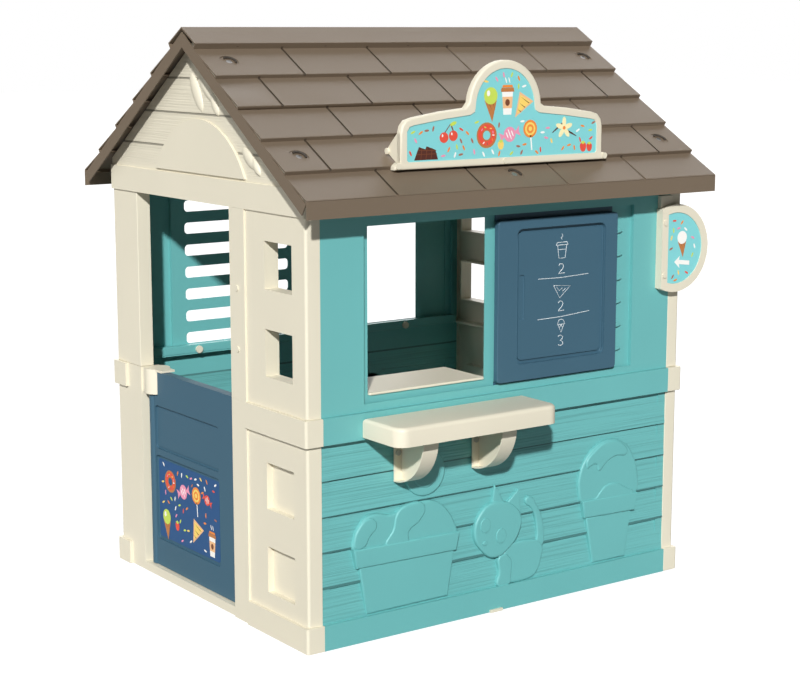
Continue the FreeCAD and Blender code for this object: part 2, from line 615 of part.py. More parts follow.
def half_door(node):
    """A twin-walled door with a round hinge edge, notched at the top for the fixed knuckle."""
    front = f"(-{GABLE} + door_front)"
    leaf = box(f"{node}_leaf", (front, DOOR_BACK),
               ("door_low_y + door_side_play", "hinge_y"), ("door_low", "door_high"))
    pieces = [
        rounded(f"{node}_leaf_round", leaf, X_AXIS, "door_round"),
        rod(f"{node}_barrel", "barrel_radius", "knuckle_low - knuckle_play - door_low", Z_AXIS,
            (HINGE_X, "hinge_y", "door_low")),
    ]
    solid = joined(f"{node}_solid", pieces)
    cuts = [rod(f"{node}_notch", "knuckle_radius + knuckle_play", "door_high", Z_AXIS,
                (HINGE_X, "hinge_y", "knuckle_low - knuckle_play")),
            box(f"{node}_notch_side", (f"{HINGE_X} - 2 * knuckle_radius",
                                       f"{HINGE_X} + 2 * knuckle_radius"),
                ("hinge_y", "hinge_y + 2 * knuckle_radius"),
                ("knuckle_low - knuckle_play", "2 * door_high"))]
    for tag, low, high in (("upper", "upper_panel_low", "upper_panel_high"),
                           ("lower", "lower_panel_low", "lower_panel_high")):
        field = box(f"{node}_{tag}_field", (f"{front} - skin", f"{front} + panel_depth"),
                    ("panel_low_y", "panel_high_y"), (low, high))
        cuts.append(rounded(f"{node}_{tag}_round", field, X_AXIS, "field_radius"))
    for tag, low in (("low", "door_low - skin"), ("high", "knuckle_low - knuckle_play - 2 * "
                                                          "pin_reach")):
        cuts.append(rod(f"{node}_{tag}_pin_hole", "pin_radius", "2 * pin_reach + skin", Z_AXIS,
                        (HINGE_X, "hinge_y", low)))
    cuts.append(rod(f"{node}_barrel_hollow", "barrel_radius - skin",
                    "knuckle_low - door_low - knuckle_play - 6 * pin_reach", Z_AXIS,
                    (HINGE_X, "hinge_y", "door_low + 3 * pin_reach")))
    cuts.append(box(f"{node}_hollow", (f"{front} + panel_depth + skin", f"{DOOR_BACK} - skin"),
                    ("door_low_y + door_side_play + skin", "hinge_y - knuckle_radius - 3 * skin"),
                    ("door_low + skin", "door_high - skin")))
    finish(node, less(f"{node}_cut", solid, cuts))


def hinge_pins(node):
    """Two pins on one upright axis: one in the threshold, one in the knuckle."""
    low = rod(f"{node}_low", "pin_radius", "2 * pin_reach + door_low - threshold - skin", Z_AXIS,
              (HINGE_X, "hinge_y", "threshold - pin_reach + skin"))
    high = rod(f"{node}_high", "pin_radius", "3 * pin_reach + knuckle_play - gap", Z_AXIS,
               (HINGE_X, "hinge_y", "knuckle_low - knuckle_play - 2 * pin_reach"))
    finish(node, group(f"{node}_all", [low, high]))


def hinge_bracket(node):
    """The knuckle on the post, with a strap that runs over the top edge of the door."""
    jamb = "door_high_y - gap"
    knuckle = rod(f"{node}_knuckle", "knuckle_radius", "split_height - knuckle_low", Z_AXIS,
                  (HINGE_X, "hinge_y", "knuckle_low"))
    block = box(f"{node}_block", (f"{HINGE_X} - block_front", f"{HINGE_X} + block_back"),
                ("hinge_y", jamb), ("knuckle_low", "split_height"))
    strap = box(f"{node}_strap", (f"{HINGE_X} - strap_half", f"{HINGE_X} + strap_half"),
                ("hinge_y - strap_reach", jamb),
                ("split_height - strap_thick + gap", "split_height + gap"))
    solid = joined(f"{node}_solid", [knuckle, block, strap])
    trim = box(f"{node}_trim", (f"{HINGE_X} - 2 * knuckle_radius",
                                f"{HINGE_X} + 2 * knuckle_radius"),
               (jamb, "door_high_y + 2 * knuckle_radius"), ("0", "height"))
    hole = rod(f"{node}_hole", "pin_radius + pin_play", "2 * pin_reach", Z_AXIS,
               (HINGE_X, "hinge_y", "knuckle_low - pin_reach"))
    finish(node, less(f"{node}_cut", solid, [trim, hole]))


def door_sticker(node):
    """The printed sheet in the door's lower field."""
    front = f"(-{GABLE} + door_front + panel_depth)"
    sheet = box(f"{node}_sheet", (f"{front} - sticker_thick", front),
                ("panel_low_y + sticker_inset", "panel_high_y - sticker_inset"),
                ("lower_panel_low + sticker_inset", "lower_panel_high - sticker_inset"))
    finish(node, group(f"{node}_all", [sheet]))


# ---- Shelf, brackets and counter ----------------------------------------------------------

def serving_shelf(node):
    """A tray turned upside down, screwed to the middle band."""
    wide = ("shelf_left", "shelf_left + shelf_length")
    deep = ("-shelf_front", f"-{BAND} - gap")
    low = "(shelf_high - shelf_skirt)"
    block = box(f"{node}_block", wide, deep, (low, "shelf_high"))
    hollow = box(f"{node}_hollow", (f"{wide[0]} + skin", f"{wide[1]} - skin"),
                 (f"{deep[0]} + skin", f"{deep[1]} - skin"), (f"{low} - skin",
                                                              "shelf_high - skin"))
    outside = rounded(f"{node}_round", block, Z_AXIS, "shelf_corner")
    finish(node, less(f"{node}_cut", outside,
                      [rounded(f"{node}_inner_round", hollow, Z_AXIS, "shelf_corner")]))


def shelf_bracket(node, number):
    """A plate against the wall, a web and a curved strap round its edge."""
    left = f"(bracket_first + {number} * bracket_pitch)"
    wide = (left, f"{left} + bracket_width")
    wall = f"(-{WALL} - gap)"
    centre = "(shelf_high - shelf_skirt)"
    quarter = box(f"{node}_quarter", wide, (f"{wall} - bracket_reach", wall),
                  ("bracket_low - skin", centre))
    disc = rod(f"{node}_disc", "bracket_reach", "bracket_width", X_AXIS, (left, wall, centre))
    inner = rod(f"{node}_inner", "bracket_reach - skin", "bracket_width", X_AXIS,
                (left, wall, centre))
    strap = less(f"{node}_strap", shared(f"{node}_sector", quarter, disc), [inner])
    mid = f"{left} + bracket_width / 2"
    web_disc = rod(f"{node}_web_disc", "bracket_reach - skin / 2", "skin", X_AXIS,
                   (f"{mid} - skin / 2", wall, centre))
    web_quarter = box(f"{node}_web_quarter", (f"{mid} - skin / 2", f"{mid} + skin / 2"),
                      (f"{wall} - bracket_reach", wall), ("bracket_low - skin", centre))
    band_face = f"(-{BAND} - gap)"
    pieces = [
        strap,
        shared(f"{node}_web", web_disc, web_quarter),
        box(f"{node}_plate", wide, (f"{wall} - skin", wall),
            (f"{centre} - bracket_reach + skin", "mid_band_low - gap")),
        box(f"{node}_spine", (f"{mid} - skin / 2", f"{mid} + skin / 2"),
            (f"{wall} - bracket_reach + 2 * skin", f"{band_face} - 2 * skin"),
            (f"{centre} - skin", "shelf_high - skin - gap")),
    ]
    solid = joined(f"{node}_solid", pieces)
    cuts = [box(f"{node}_clear", ("shelf_left", "shelf_left + shelf_length"),
                (f"-{BAND} - gap", "0"), ("mid_band_low - gap", "height"))]
    for place, at in enumerate(bracket_screw_places()[2 * number:2 * number + 2]):
        cuts.append(rod(f"{node}_hole_{place}", "screw_radius + screw_play", "2 * skin", Y_AXIS,
                        at))
    finish(node, less(f"{node}_cut", solid, cuts))


def window_counter(node):
    """The inner counter hooks over the window sill."""
    wide = ("-window_outer + counter_play", "-window_inner - counter_play")
    front = f"(-{WALL} + recess_depth - counter_nose)"
    back = f"(-{WALL} + counter_depth)"
    wall_back = f"(-{WALL} + flange + gap)"
    low = "(front_sill + gap)"
    top = box(f"{node}_top", wide, (front, back), (low, f"{low} + counter_thick"))
    pieces = [rounded(f"{node}_top_round", top, Z_AXIS, "counter_thick"),
              box(f"{node}_hook", wide, (wall_back, f"{wall_back} + skin"),
                  (f"{low} - counter_skirt - skin", low)),
              box(f"{node}_skirt", (f"{wide[0]} + counter_thick", f"{wide[1]} - counter_thick"),
                  (f"{back} - skin", back), (f"{low} - counter_skirt", low))]
    for number, side in enumerate((f"{wide[0]}", f"{wide[1]} - skin")):
        pieces.append(box(f"{node}_rib_{number}", (side, f"{side} + skin"),
                          (wall_back, f"{back} - counter_thick"),
                          (f"{low} - counter_skirt", low)))
    finish(node, joined(f"{node}_all", pieces))


# ---- Signs --------------------------------------------------------------------------------

def sign_blank(tag, inset, deep):
    """The outline of the roof sign: a long box with an arch on it, smaller by `inset`."""
    long_box = box(f"{tag}_long", (f"sign_middle - sign_half + {inset}",
                                   f"sign_middle + sign_half - {inset}"), deep,
                   (f"sign_low + {inset}", f"sign_shoulder - {inset}"))
    arch = rod(f"{tag}_arch", f"sign_arch - {inset}", f"{deep[1]} - ({deep[0]})", Y_AXIS,
               ("sign_middle", deep[0], "sign_arch_height"))
    neck = box(f"{tag}_neck", (f"sign_middle - sign_arch + {inset}",
                               f"sign_middle + sign_arch - {inset}"), deep,
               (f"sign_low + {inset}", "sign_arch_height"))
    lower = box(f"{tag}_lower", (f"sign_middle - sign_half", "sign_middle + sign_half"), deep,
                (f"sign_low + {inset}", "height"))
    upright = joined(f"{tag}_upright", [rounded(f"{tag}_long_round", long_box, Y_AXIS,
                                                "slot_radius"), arch, neck])
    return shared(f"{tag}_blank", upright, lower)


def roof_sign(node, print_node):
    """A framed board that stands on the front slope, with cheeks that run back to the roof."""
    front = "(-sign_front)"
    back = "(-sign_front + sign_thick)"
    ends = ("sign_middle - sign_flange", "sign_middle + sign_flange")
    pieces = [sign_blank(f"{node}_frame", "0", (front, back)),
              box(f"{node}_foot", ends, (front, back), ("sign_low", "sign_low + sign_border"))]
    for tag, x in (("a", (ends[0], f"{ends[0]} + skin")), ("b", (f"{ends[1]} - skin", ends[1]))):
        pieces.append(box(f"{node}_cheek_{tag}", x, (front, f"{front} + cheek_back + skin"),
                          ("sign_low", "sign_shoulder - 2 * sign_border")))
    solid = joined(f"{node}_solid", pieces)
    under = sloped_box(f"{node}_under", (f"-{ROOF_LENGTH}", f"{ROOF_LENGTH}"),
                       ("-height", "2 * height"), ("-height", "gap"))
    recess = sign_blank(f"{node}_recess", "sign_border", (f"{front} - skin",
                                                          f"{front} + print_depth"))
    hollow = sign_blank(f"{node}_hollow", "skin", (f"{front} + print_depth + skin",
                                                   f"{back} + skin"))
    holes = [rod(f"{node}_hole_{number}", "screw_radius + screw_play", "sign_thick", Y_AXIS, at)
             for number, at in enumerate(sign_screw_places())]
    finish(node, less(f"{node}_cut", solid, [under, recess, hollow] + holes))
    face = f"{front} + print_depth"
    finish(print_node, sign_blank(print_node, "(sign_border + gap)",
                                  (f"{face} - print_thick", face)))


def disc_blank(tag, inset, deep):
    """The outline of the corner sign: a disc with a flat side, smaller by `inset`."""
    disc = rod(f"{tag}_disc", f"disc_radius - {inset}", f"{deep[1]} - ({deep[0]})", Y_AXIS,
               (DISC_MIDDLE, deep[0], "disc_height"))
    part = box(f"{tag}_part", (f"{DISC_FLAT} + {inset}", f"{DISC_MIDDLE} + 2 * disc_radius"), deep,
               ("disc_height - 2 * disc_radius", "disc_height + 2 * disc_radius"))
    return shared(f"{tag}_blank", disc, part)


def corner_sign(node, print_node):
    """A round framed board, cut flat on one side, fixed flat against the front corner."""
    back = f"(-{WALL} - gap)"
    front = f"({back} - disc_thick)"
    tab = box(f"{node}_tab", (f"{DISC_FLAT} + skin", f"{DISC_FLAT} + skin + tab_width"),
              (f"{back} - disc_thick / 2", back),
              ("disc_height", "disc_height + disc_radius + tab_height - 2 * skin"))
    solid = joined(f"{node}_solid", [disc_blank(f"{node}_frame", "0", (front, back)), tab])
    recess = disc_blank(f"{node}_recess", "disc_border", (f"{front} - skin",
                                                          f"{front} + print_depth"))
    hollow = disc_blank(f"{node}_hollow", "skin", (f"{front} + print_depth + skin",
                                                   f"{front} + disc_thick / 2"))
    holes = [rod(f"{node}_hole_{number}", "screw_radius + screw_play", "disc_thick + skin",
                 Y_AXIS, at) for number, at in enumerate(corner_screw_places())]
    finish(node, less(f"{node}_cut", solid, [recess, hollow] + holes))
    face = f"{front} + print_depth"
    finish(print_node, disc_blank(print_node, "(disc_border + gap)",
                                  (f"{face} - print_thick", face)))


# ---- Fasteners and plugs ------------------------------------------------------------------

def strip_screw_places():
    """Where the two screws of a door strip go in."""
    return [(f"-{GABLE} - strip_proud", "door_low_y - strip_width / 2",
             f"strip_screw_low + {number} * strip_screw_pitch") for number in range(2)]


def side_screws(node):
    """Two screws through each door strip of the upper side panels."""
    sides = []
    for side in ("left", "right"):
        sides.append([screw(f"{node}_{side}_{number}", at, X_AXIS, "return_depth - skin")
                      for number, at in enumerate(strip_screw_places())])
    finish(node, group(f"{node}_all", sides[0] + [half_turned(f"{node}_turned", sides[1])]))


def wall_plugs(node):
    """Round plugs on the inner ledges, which lock the upper long walls to the lower ones."""
    sides = []
    for side in ("front", "back"):
        sides.append([rod(f"{node}_{side}_{number}", "plug_radius", "plug_head", Y_AXIS,
                          (x, f"-{WALL} + flange + gap", "split_height + plug_rise"))
                      for number, x in enumerate(("-plug_span", "plug_span"))])
    finish(node, group(f"{node}_all", sides[0] + [half_turned(f"{node}_turned", sides[1])]))


def bracket_screw_places():
    """Two screws in each bracket's plate, one either side of the web."""
    return [(f"bracket_first + {number} * bracket_pitch + {part} * bracket_width / 4",
             f"-{WALL} - gap - skin", "bracket_screw_height")
            for number in range(2) for part in (1, 3)]


def bracket_screws(node):
    finish(node, group(f"{node}_all", [
        screw(f"{node}_{number}", at, Y_AXIS, "plug_length")
        for number, at in enumerate(bracket_screw_places())]))


def sign_screw_places():
    """Three screws along the foot of the roof sign."""
    return [(f"sign_middle + {side} * (sign_flange - sign_border / 2)", "-sign_front",
             "sign_low + sign_border / 2") for side in (-1, 0, 1)]


def sign_screws(node):
    finish(node, group(f"{node}_all", [
        screw(f"{node}_{number}", at, Y_AXIS, "sign_thick - 2 * skin")
        for number, at in enumerate(sign_screw_places())]))


def corner_screw_places():
    """Two screws in the flat side of the corner sign."""
    return [(f"{DISC_FLAT} + disc_border / 2", f"-{WALL} - gap - disc_thick",
             f"disc_height + {side} * disc_screw_rise") for side in (-1, 1)]


def corner_screws(node):
    finish(node, group(f"{node}_all", [
        screw(f"{node}_{number}", at, Y_AXIS, "disc_thick + 2 * skin")
        for number, at in enumerate(corner_screw_places())]))


def ground_clips(node):
    """A flat clip under the middle of each long wall's base band, for a ground peg."""
    sides = []
    for side in ("front", "back"):
        sides.append([box(f"{node}_{side}", ("sign_middle - clip_length", "sign_middle"),
                          (f"-{BAND} - clip_proud", f"-{BAND} - gap"), ("0", "clip_height"))])
    finish(node, group(f"{node}_all", sides[0] + [half_turned(f"{node}_turned", sides[1])]))


for number, (side, turned) in enumerate((("front", False), ("back", True))):
    lower_wall(f"wall_{side}_lower", turned)
    upper_wall(f"wall_{side}_upper", f"{side}_sill", f"{side}_slot_outer", turned)
    inner_rail(f"inner_rail_{side}", turned)
    roof_panel(f"roof_panel_{side}", turned)
for side, turned in (("left", False), ("right", True)):
    lower_gable(f"gable_{side}_lower", turned)
    side_panel(f"side_panel_{side}", turned)
    upper_post(f"upper_post_{side}", turned)
    pediment(f"pediment_{side}", turned)
serving_shelf("serving_shelf")
for number, side in enumerate(("left", "right")):
    shelf_bracket(f"shelf_bracket_{side}", number)
window_counter("window_counter")
shutter("serving_shutter")
half_door("half_door")
hinge_pins("door_hinge_pins")
hinge_bracket("door_hinge_bracket")
door_sticker("door_sticker")
roof_sign("roof_sign_frame", "roof_sign_print")
corner_sign("corner_sign_frame", "corner_sign_print")
roof_screws("roof_screws")
side_screws("side_panel_screws")
wall_plugs("wall_plugs")
bracket_screws("bracket_screws")
sign_screws("roof_sign_screws")
corner_screws("corner_sign_screws")
ground_clips("ground_clips")

doc.recompute()
failed = [obj.Label for obj in doc.Objects if "Invalid" in obj.State or "Error" in obj.State]
failed += [node for node, obj in NODES.items() if obj.Shape.isNull() or not obj.Shape.isValid()]
if failed:
    raise RuntimeError("pieces that did not build: " + ", ".join(failed))

os.makedirs("parts", exist_ok=True)
for node, obj in NODES.items():
    obj.Shape.exportStep(f"parts/{node}.step")
    print(f"{node:22s} {len(obj.Shape.Solids):3d} solids {obj.Shape.Volume / 1e3:9.1f} cm3")
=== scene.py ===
import math
import random

import bpy
from mathutils import Matrix, Vector


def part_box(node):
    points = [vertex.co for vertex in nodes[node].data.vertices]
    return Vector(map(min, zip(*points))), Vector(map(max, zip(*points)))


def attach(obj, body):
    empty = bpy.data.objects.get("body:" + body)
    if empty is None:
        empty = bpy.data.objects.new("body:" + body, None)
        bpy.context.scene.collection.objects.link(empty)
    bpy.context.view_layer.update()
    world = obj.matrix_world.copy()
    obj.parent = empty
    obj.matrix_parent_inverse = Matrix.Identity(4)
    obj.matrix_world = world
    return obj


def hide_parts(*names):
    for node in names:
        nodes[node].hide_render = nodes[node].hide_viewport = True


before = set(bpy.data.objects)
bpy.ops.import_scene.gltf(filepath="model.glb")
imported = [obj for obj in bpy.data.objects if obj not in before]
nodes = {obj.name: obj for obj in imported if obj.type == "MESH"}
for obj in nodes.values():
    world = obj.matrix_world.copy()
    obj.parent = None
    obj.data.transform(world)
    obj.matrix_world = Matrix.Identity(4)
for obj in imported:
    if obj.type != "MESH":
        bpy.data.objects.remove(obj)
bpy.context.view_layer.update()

# ---- Ground, camera and light -----------------------------------------------------------
# The playhouse stands on a plain pale studio floor. One lamp stands beside the camera, a broad
# one on the door's side and a weak one behind, and a pale sky fills the shadows.

MM = 0.001
FLOOR_TONE, FLOOR_GLOW = 0.32, 0.78
SKY_LIGHT, SKY_SEEN = 0.07, 1.0
CAMERA_PLACE, CAMERA_TILT, CAMERA_TURN = (-2397.35, -3380.84, 1266.85), 80.09, -35.52
CAMERA_LENS, CAMERA_SENSOR = 80.385, 36
roof_low, roof_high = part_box("roof_panel_front")
HOUSE = Vector(((roof_low.x + roof_high.x) / 2, roof_high.y, 0))


def house(x, y, z):
    """A place given in millimetres from the middle of the house, on the floor."""
    return HOUSE + Vector((x, y, z)) * MM


def alone(piece):
    """Leave only this piece selected."""
    bpy.ops.object.select_all(action="DESELECT")
    piece.select_set(True)
    bpy.context.view_layer.objects.active = piece


def sun(tilt, turn, energy, width):
    """A lamp far away: its tilt, turn and apparent width in degrees."""
    bpy.ops.object.light_add(type="SUN", rotation=(math.radians(tilt), 0, math.radians(turn)))
    lamp = bpy.context.object.data
    lamp.energy, lamp.angle = energy, math.radians(width)


def strength_by_ray(tree, socket, cast, seen):
    """Give a strength one value for the light it casts and another where it is looked at."""
    path = tree.nodes.new("ShaderNodeLightPath")
    strength = tree.nodes.new("ShaderNodeMapRange")
    strength.inputs["To Min"].default_value = cast
    strength.inputs["To Max"].default_value = seen
    tree.links.new(path.outputs["Is Camera Ray"], strength.inputs["Value"])
    tree.links.new(strength.outputs[0], socket)


bpy.ops.object.select_all(action="DESELECT")
bpy.ops.mesh.primitive_plane_add(size=60, location=(0, 0, -0.0005))
ground = bpy.context.object
ground.name = "studio_floor"
ground_finish = bpy.data.materials.new("studio_floor")
ground_finish.use_nodes = True
ground_shader = ground_finish.node_tree.nodes["Principled BSDF"]
ground_shader.inputs["Base Color"].default_value = (FLOOR_TONE, FLOOR_TONE, FLOOR_TONE, 1)
ground_shader.inputs["Roughness"].default_value = 0.9
ground_shader.inputs["Emission Color"].default_value = (1, 1, 1, 1)
strength_by_ray(ground_finish.node_tree, ground_shader.inputs["Emission Strength"],
                0, FLOOR_GLOW)
ground.data.materials.append(ground_finish)

bpy.ops.object.camera_add(location=house(*CAMERA_PLACE), rotation=(
    math.radians(CAMERA_TILT), 0, math.radians(CAMERA_TURN)))
camera = bpy.context.object
camera.data.lens = CAMERA_LENS
camera.data.sensor_width = CAMERA_SENSOR
bpy.context.scene.camera = camera

sun(61, -39, 3.85, 2.5)
sun(66, -100, 0.55, 50)
sun(60, 142, 1.7, 50)

sky = bpy.data.worlds.new("studio")
sky.use_nodes = True
sky.node_tree.nodes["Background"].inputs["Color"].default_value = (1, 1, 1, 1)
strength_by_ray(sky.node_tree, sky.node_tree.nodes["Background"].inputs["Strength"],
                SKY_LIGHT, SKY_SEEN)
bpy.context.scene.world = sky
bpy.context.scene.view_settings.view_transform = "Standard"

# ---- Lower long walls -------------------------------------------------------------------
# One blow-moulded teal panel a side: five lapped planks with a drawn wood grain between a
# smooth base band and a smooth middle band. The edges come out of the mould well rounded.


class Value:
    """A socket. Sums on it add Math nodes to its material."""

    def __init__(self, tree, socket):
        self.tree, self.socket = tree, socket

    def node(self, kind, settings, sockets, out=0):
        new = self.tree.nodes.new(kind)
        for name, setting in settings.items():
            if name == "stops":
                ramp = new.color_ramp.elements
                while len(ramp) < len(setting):
                    ramp.new(0.5)
                for element, (place, shade) in zip(ramp, setting):
                    element.position, element.color = place, (*shade, 1)
            else:
                setattr(new, name, setting)
        for name, value in sockets.items():
            if isinstance(value, Value):
                self.tree.links.new(value.socket, new.inputs[name])
            else:
                new.inputs[name].default_value = value
        return Value(self.tree, new.outputs[out])

    def maths(self, operation, *others):
        return self.node("ShaderNodeMath", {"operation": operation},
                         dict(enumerate((self, *others))))

    def __add__(self, other):
        return self.maths("ADD", other)

    def __mul__(self, other):
        return self.maths("MULTIPLY", other)

    def __sub__(self, other):
        return self.maths("SUBTRACT", other)

    def __rsub__(self, other):
        return self.maths("MULTIPLY_ADD", -1.0, other)

    def __gt__(self, other):
        return self.maths("GREATER_THAN", other)

    def __lt__(self, other):
        return self.maths("LESS_THAN", other)

    __radd__, __rmul__ = __add__, __mul__


def start_finish(name):
    """A new material: its object coordinates, its shader and the finish itself."""
    finish = bpy.data.materials.new(name)
    finish.use_nodes = True
    tree = finish.node_tree
    place = Value(tree, tree.nodes.new("ShaderNodeTexCoord").outputs["Object"])
    return place, tree.nodes["Principled BSDF"], finish


def noise(place, scale, detail=2.0, stretch=(1, 1, 1)):
    """Soft noise, finer along an axis whose stretch is larger."""
    drawn = place.node("ShaderNodeMapping", {}, {"Vector": place, "Scale": stretch})
    return place.node("ShaderNodeTexNoise", {}, {"Vector": drawn, "Scale": scale,
                                                 "Detail": detail})


def shade(colour, factor):
    """A colour made darker or lighter, with its alpha."""
    return tuple(min(1.0, part * factor) for part in colour) + (1,)


def moulded(name, colour, grain=None, planks=None, rough=0.46, laps=(), boss=None,
             painted_shade=None, worn=0.26):
    """Moulded plastic: a fine spark-eroded skin, faint sink marks, and a drawn wood grain.

    `grain` is the stretch of the grain, `planks` the heights between which it is drawn, and
    `laps` are the heights where one plank laps the next, with shade painted dark under it.
    Neither runs across the round `boss`, given by its middle's height and its radius.
    `worn` is how dark the grain's valleys are; the last argument gives where shade is painted
    darker.
    """
    place, shader, finish = start_finish(name)
    link = finish.node_tree.links.new
    skin = noise(place, 900, 2)
    cloud = noise(place, 5, 3)
    tint = place.node("ShaderNodeMix", {"data_type": "RGBA"},
                      {"Factor": cloud, 6: shade(colour, 0.965), 7: shade(colour, 1.035)}, out=2)
    height = skin * 0.10 + cloud * 1.6
    if grain:
        lines = noise(place, 1, 4, grain)
        fine = noise(place, 1, 2, tuple(2.6 * part for part in grain))
        drawn = lines * 0.75 + fine * 0.25
        lap_shade = None
        if planks:
            up = place.node("ShaderNodeSeparateXYZ", {}, {"Vector": place}, out=2)
            drawn = drawn * ((up > planks[0]) * (up < planks[1]))
            if boss:
                along = place.node("ShaderNodeSeparateXYZ", {}, {"Vector": place}, out=1)
                along, rise = along - HOUSE.y, up - boss[0]
                outside = (along * along + rise * rise) > boss[1] ** 2
                drawn = drawn * outside
            # Painted shade: a dark band just under each lap, where the plank above would shade
            # the one below.
            for lap in laps:
                corner = (up > lap - 0.0042) * (up < lap + 0.0004)
                lap_shade = corner if lap_shade is None else lap_shade + corner
            if boss and laps:
                lap_shade = lap_shade * outside
        height = height + drawn * 5.0
        valley = place.node("ShaderNodeMapRange", {"interpolation_type": "SMOOTHSTEP"},
                            {"Value": drawn, "From Min": 0.36, "From Max": 0.52,
                             "To Min": worn, "To Max": 0.0})
        tint = place.node("ShaderNodeMix", {"data_type": "RGBA"},
                          {"Factor": valley * (drawn > 0.02), 6: tint,
                           7: shade(colour, 0.34)}, out=2)
        # Mix in the painted shade under the laps.
        if lap_shade is not None:
            tint = place.node("ShaderNodeMix", {"data_type": "RGBA"},
                              {"Factor": lap_shade * 0.62, 6: tint, 7: shade(colour, 0.16)}, out=2)
    # Painted shade: darker colour in the places the mask gives.
    if painted_shade:
        tint = place.node("ShaderNodeMix", {"data_type": "RGBA"},
                          {"Factor": painted_shade(place) * 0.72, 6: tint, 7: shade(colour, 0.2)}, out=2)
    bump = place.node("ShaderNodeBump", {}, {"Strength": 0.5, "Distance": 0.001,
                                             "Height": height})
    link(tint.socket, shader.inputs["Base Color"])
    link((cloud * 0.10 + skin * 0.08 + (rough - 0.09)).socket, shader.inputs["Roughness"])
    link(bump.socket, shader.inputs["Normal"])
    return finish


def apply_all(piece):
    alone(piece)
    for modifier in list(piece.modifiers):
        bpy.ops.object.modifier_apply(modifier=modifier.name)


def smooth(piece, angle=42):
    """Shade by angle, with broad faces kept flat up to their rounded edges."""
    alone(piece)
    bpy.ops.object.shade_smooth_by_angle(angle=math.radians(angle))
    even = piece.modifiers.new("even", "WEIGHTED_NORMAL")
    even.keep_sharp = True
    apply_all(piece)


SHARP = 35


def bevel_edges(piece, chosen, width, segments=4, only_sharp=False):
    """Round the edges whose two ends pass the test, or the sharp ones among them."""
    alone(piece)
    bpy.ops.object.mode_set(mode="EDIT")
    bpy.ops.mesh.select_mode(type="EDGE")
    bpy.ops.mesh.select_all(action="DESELECT")
    if only_sharp:
        bpy.ops.mesh.edges_select_sharp(sharpness=math.radians(SHARP))
    bpy.ops.object.mode_set(mode="OBJECT")
    for edge in piece.data.edges:
        a, b = (piece.data.vertices[number].co for number in edge.vertices)
        edge.select = (edge.select or not only_sharp) and chosen(a, b)
    bpy.ops.object.mode_set(mode="EDIT")
    bpy.ops.mesh.bevel(offset=width, segments=segments, affect="EDGES",
                       clamp_overlap=only_sharp)
    bpy.ops.object.mode_set(mode="OBJECT")


def soften(piece, width):
    """Round the sharp edges as the mould does, and smooth what is left."""
    bevel = piece.modifiers.new("soften", "BEVEL")
    bevel.width = width
    bevel.segments = 2
    bevel.limit_method = "ANGLE"
    bevel.angle_limit = math.radians(SHARP)
    bevel.use_clamp_overlap = True
    apply_all(piece)
    smooth(piece)


def casting(node):
    """A merged copy of a CAD node, ready for more shaping."""
    piece = bpy.data.objects.new(node + "_moulding", nodes[node].data.copy())
    bpy.context.scene.collection.objects.link(piece)
    alone(piece)
    bpy.ops.object.mode_set(mode="EDIT")
    bpy.ops.mesh.select_all(action="SELECT")
    bpy.ops.mesh.remove_doubles(threshold=0.00002)
    bpy.ops.mesh.dissolve_limited(angle_limit=math.radians(0.5))
    bpy.ops.object.mode_set(mode="OBJECT")
    return piece


def block(name, low, high):
    """A block between two corners, with its place in its mesh."""
    bpy.ops.object.select_all(action="DESELECT")
    low, high = Vector(low), Vector(high)
    bpy.ops.mesh.primitive_cube_add(size=1, location=(low + high) / 2)
    piece = bpy.context.object
    piece.name = name
    piece.scale = high - low
    bpy.ops.object.transform_apply(location=True, rotation=True, scale=True)
    return piece


def cut(piece, tools, operation="DIFFERENCE"):
    """Take the tools out of the piece, or join them to it."""
    for tool in tools:
        knife = piece.modifiers.new("cut", "BOOLEAN")
        knife.operation = operation
        knife.solver = "EXACT"
        knife.object = tool
        apply_all(piece)
        bpy.data.objects.remove(tool)
    return piece


def fit(piece, body, slot, finish, *replaced):
    """Give a piece its finish and put it on its body."""
    piece.data.materials.clear()
    piece.data.materials.append(finish)
    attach(piece, body)
    if replaced:
        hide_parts(*replaced)
    return piece


def plate(name, outline, thick, edge=0.0, curved=True, holes=()):
    """A flat plate with rounded edges, lying on its back: x right, y up, in millimetres."""
    curve = bpy.data.curves.new(name, "CURVE")
    curve.dimensions = "2D"
    curve.fill_mode = "BOTH"
    for ring in (outline, *holes):
        spline = curve.splines.new("BEZIER" if curved else "POLY")
        points = spline.bezier_points if curved else spline.points
        points.add(len(ring) - 1)
        for point, (x, y) in zip(points, ring):
            if curved:
                point.handle_left_type = point.handle_right_type = "AUTO"
                point.co = (x * MM, y * MM, 0)
            else:
                point.co = (x * MM, y * MM, 0, 1)
        spline.use_cyclic_u = True
        spline.resolution_u = 5
    curve.extrude = (thick / 2 - edge) * MM
    curve.bevel_depth = edge * MM
    curve.bevel_resolution = 2
    curve.offset = -edge * MM
    piece = bpy.data.objects.new(name, curve)
    bpy.context.scene.collection.objects.link(piece)
    alone(piece)
    bpy.ops.object.convert(target="MESH")
    piece = bpy.context.object
    bpy.ops.object.mode_set(mode="EDIT")
    bpy.ops.mesh.select_all(action="SELECT")
    bpy.ops.mesh.remove_doubles(threshold=0.00001)
    bpy.ops.mesh.normals_make_consistent(inside=False)
    bpy.ops.object.mode_set(mode="OBJECT")
    return piece


def stand(piece, place, turn=0):
    """Stand a plate up against a wall: turn 0 is the front, -90 the door's gable."""
    alone(piece)
    piece.location = place
    piece.rotation_euler = (math.radians(90), 0, math.radians(turn))
    bpy.ops.object.transform_apply(location=True, rotation=True, scale=True)
    return piece


def together(name, pieces):
    """Join the pieces into the first one, under a new name."""
    alone(pieces[0])
    for piece in pieces:
        piece.select_set(True)
    bpy.ops.object.join()
    pieces[0].name = name
    return pieces[0]


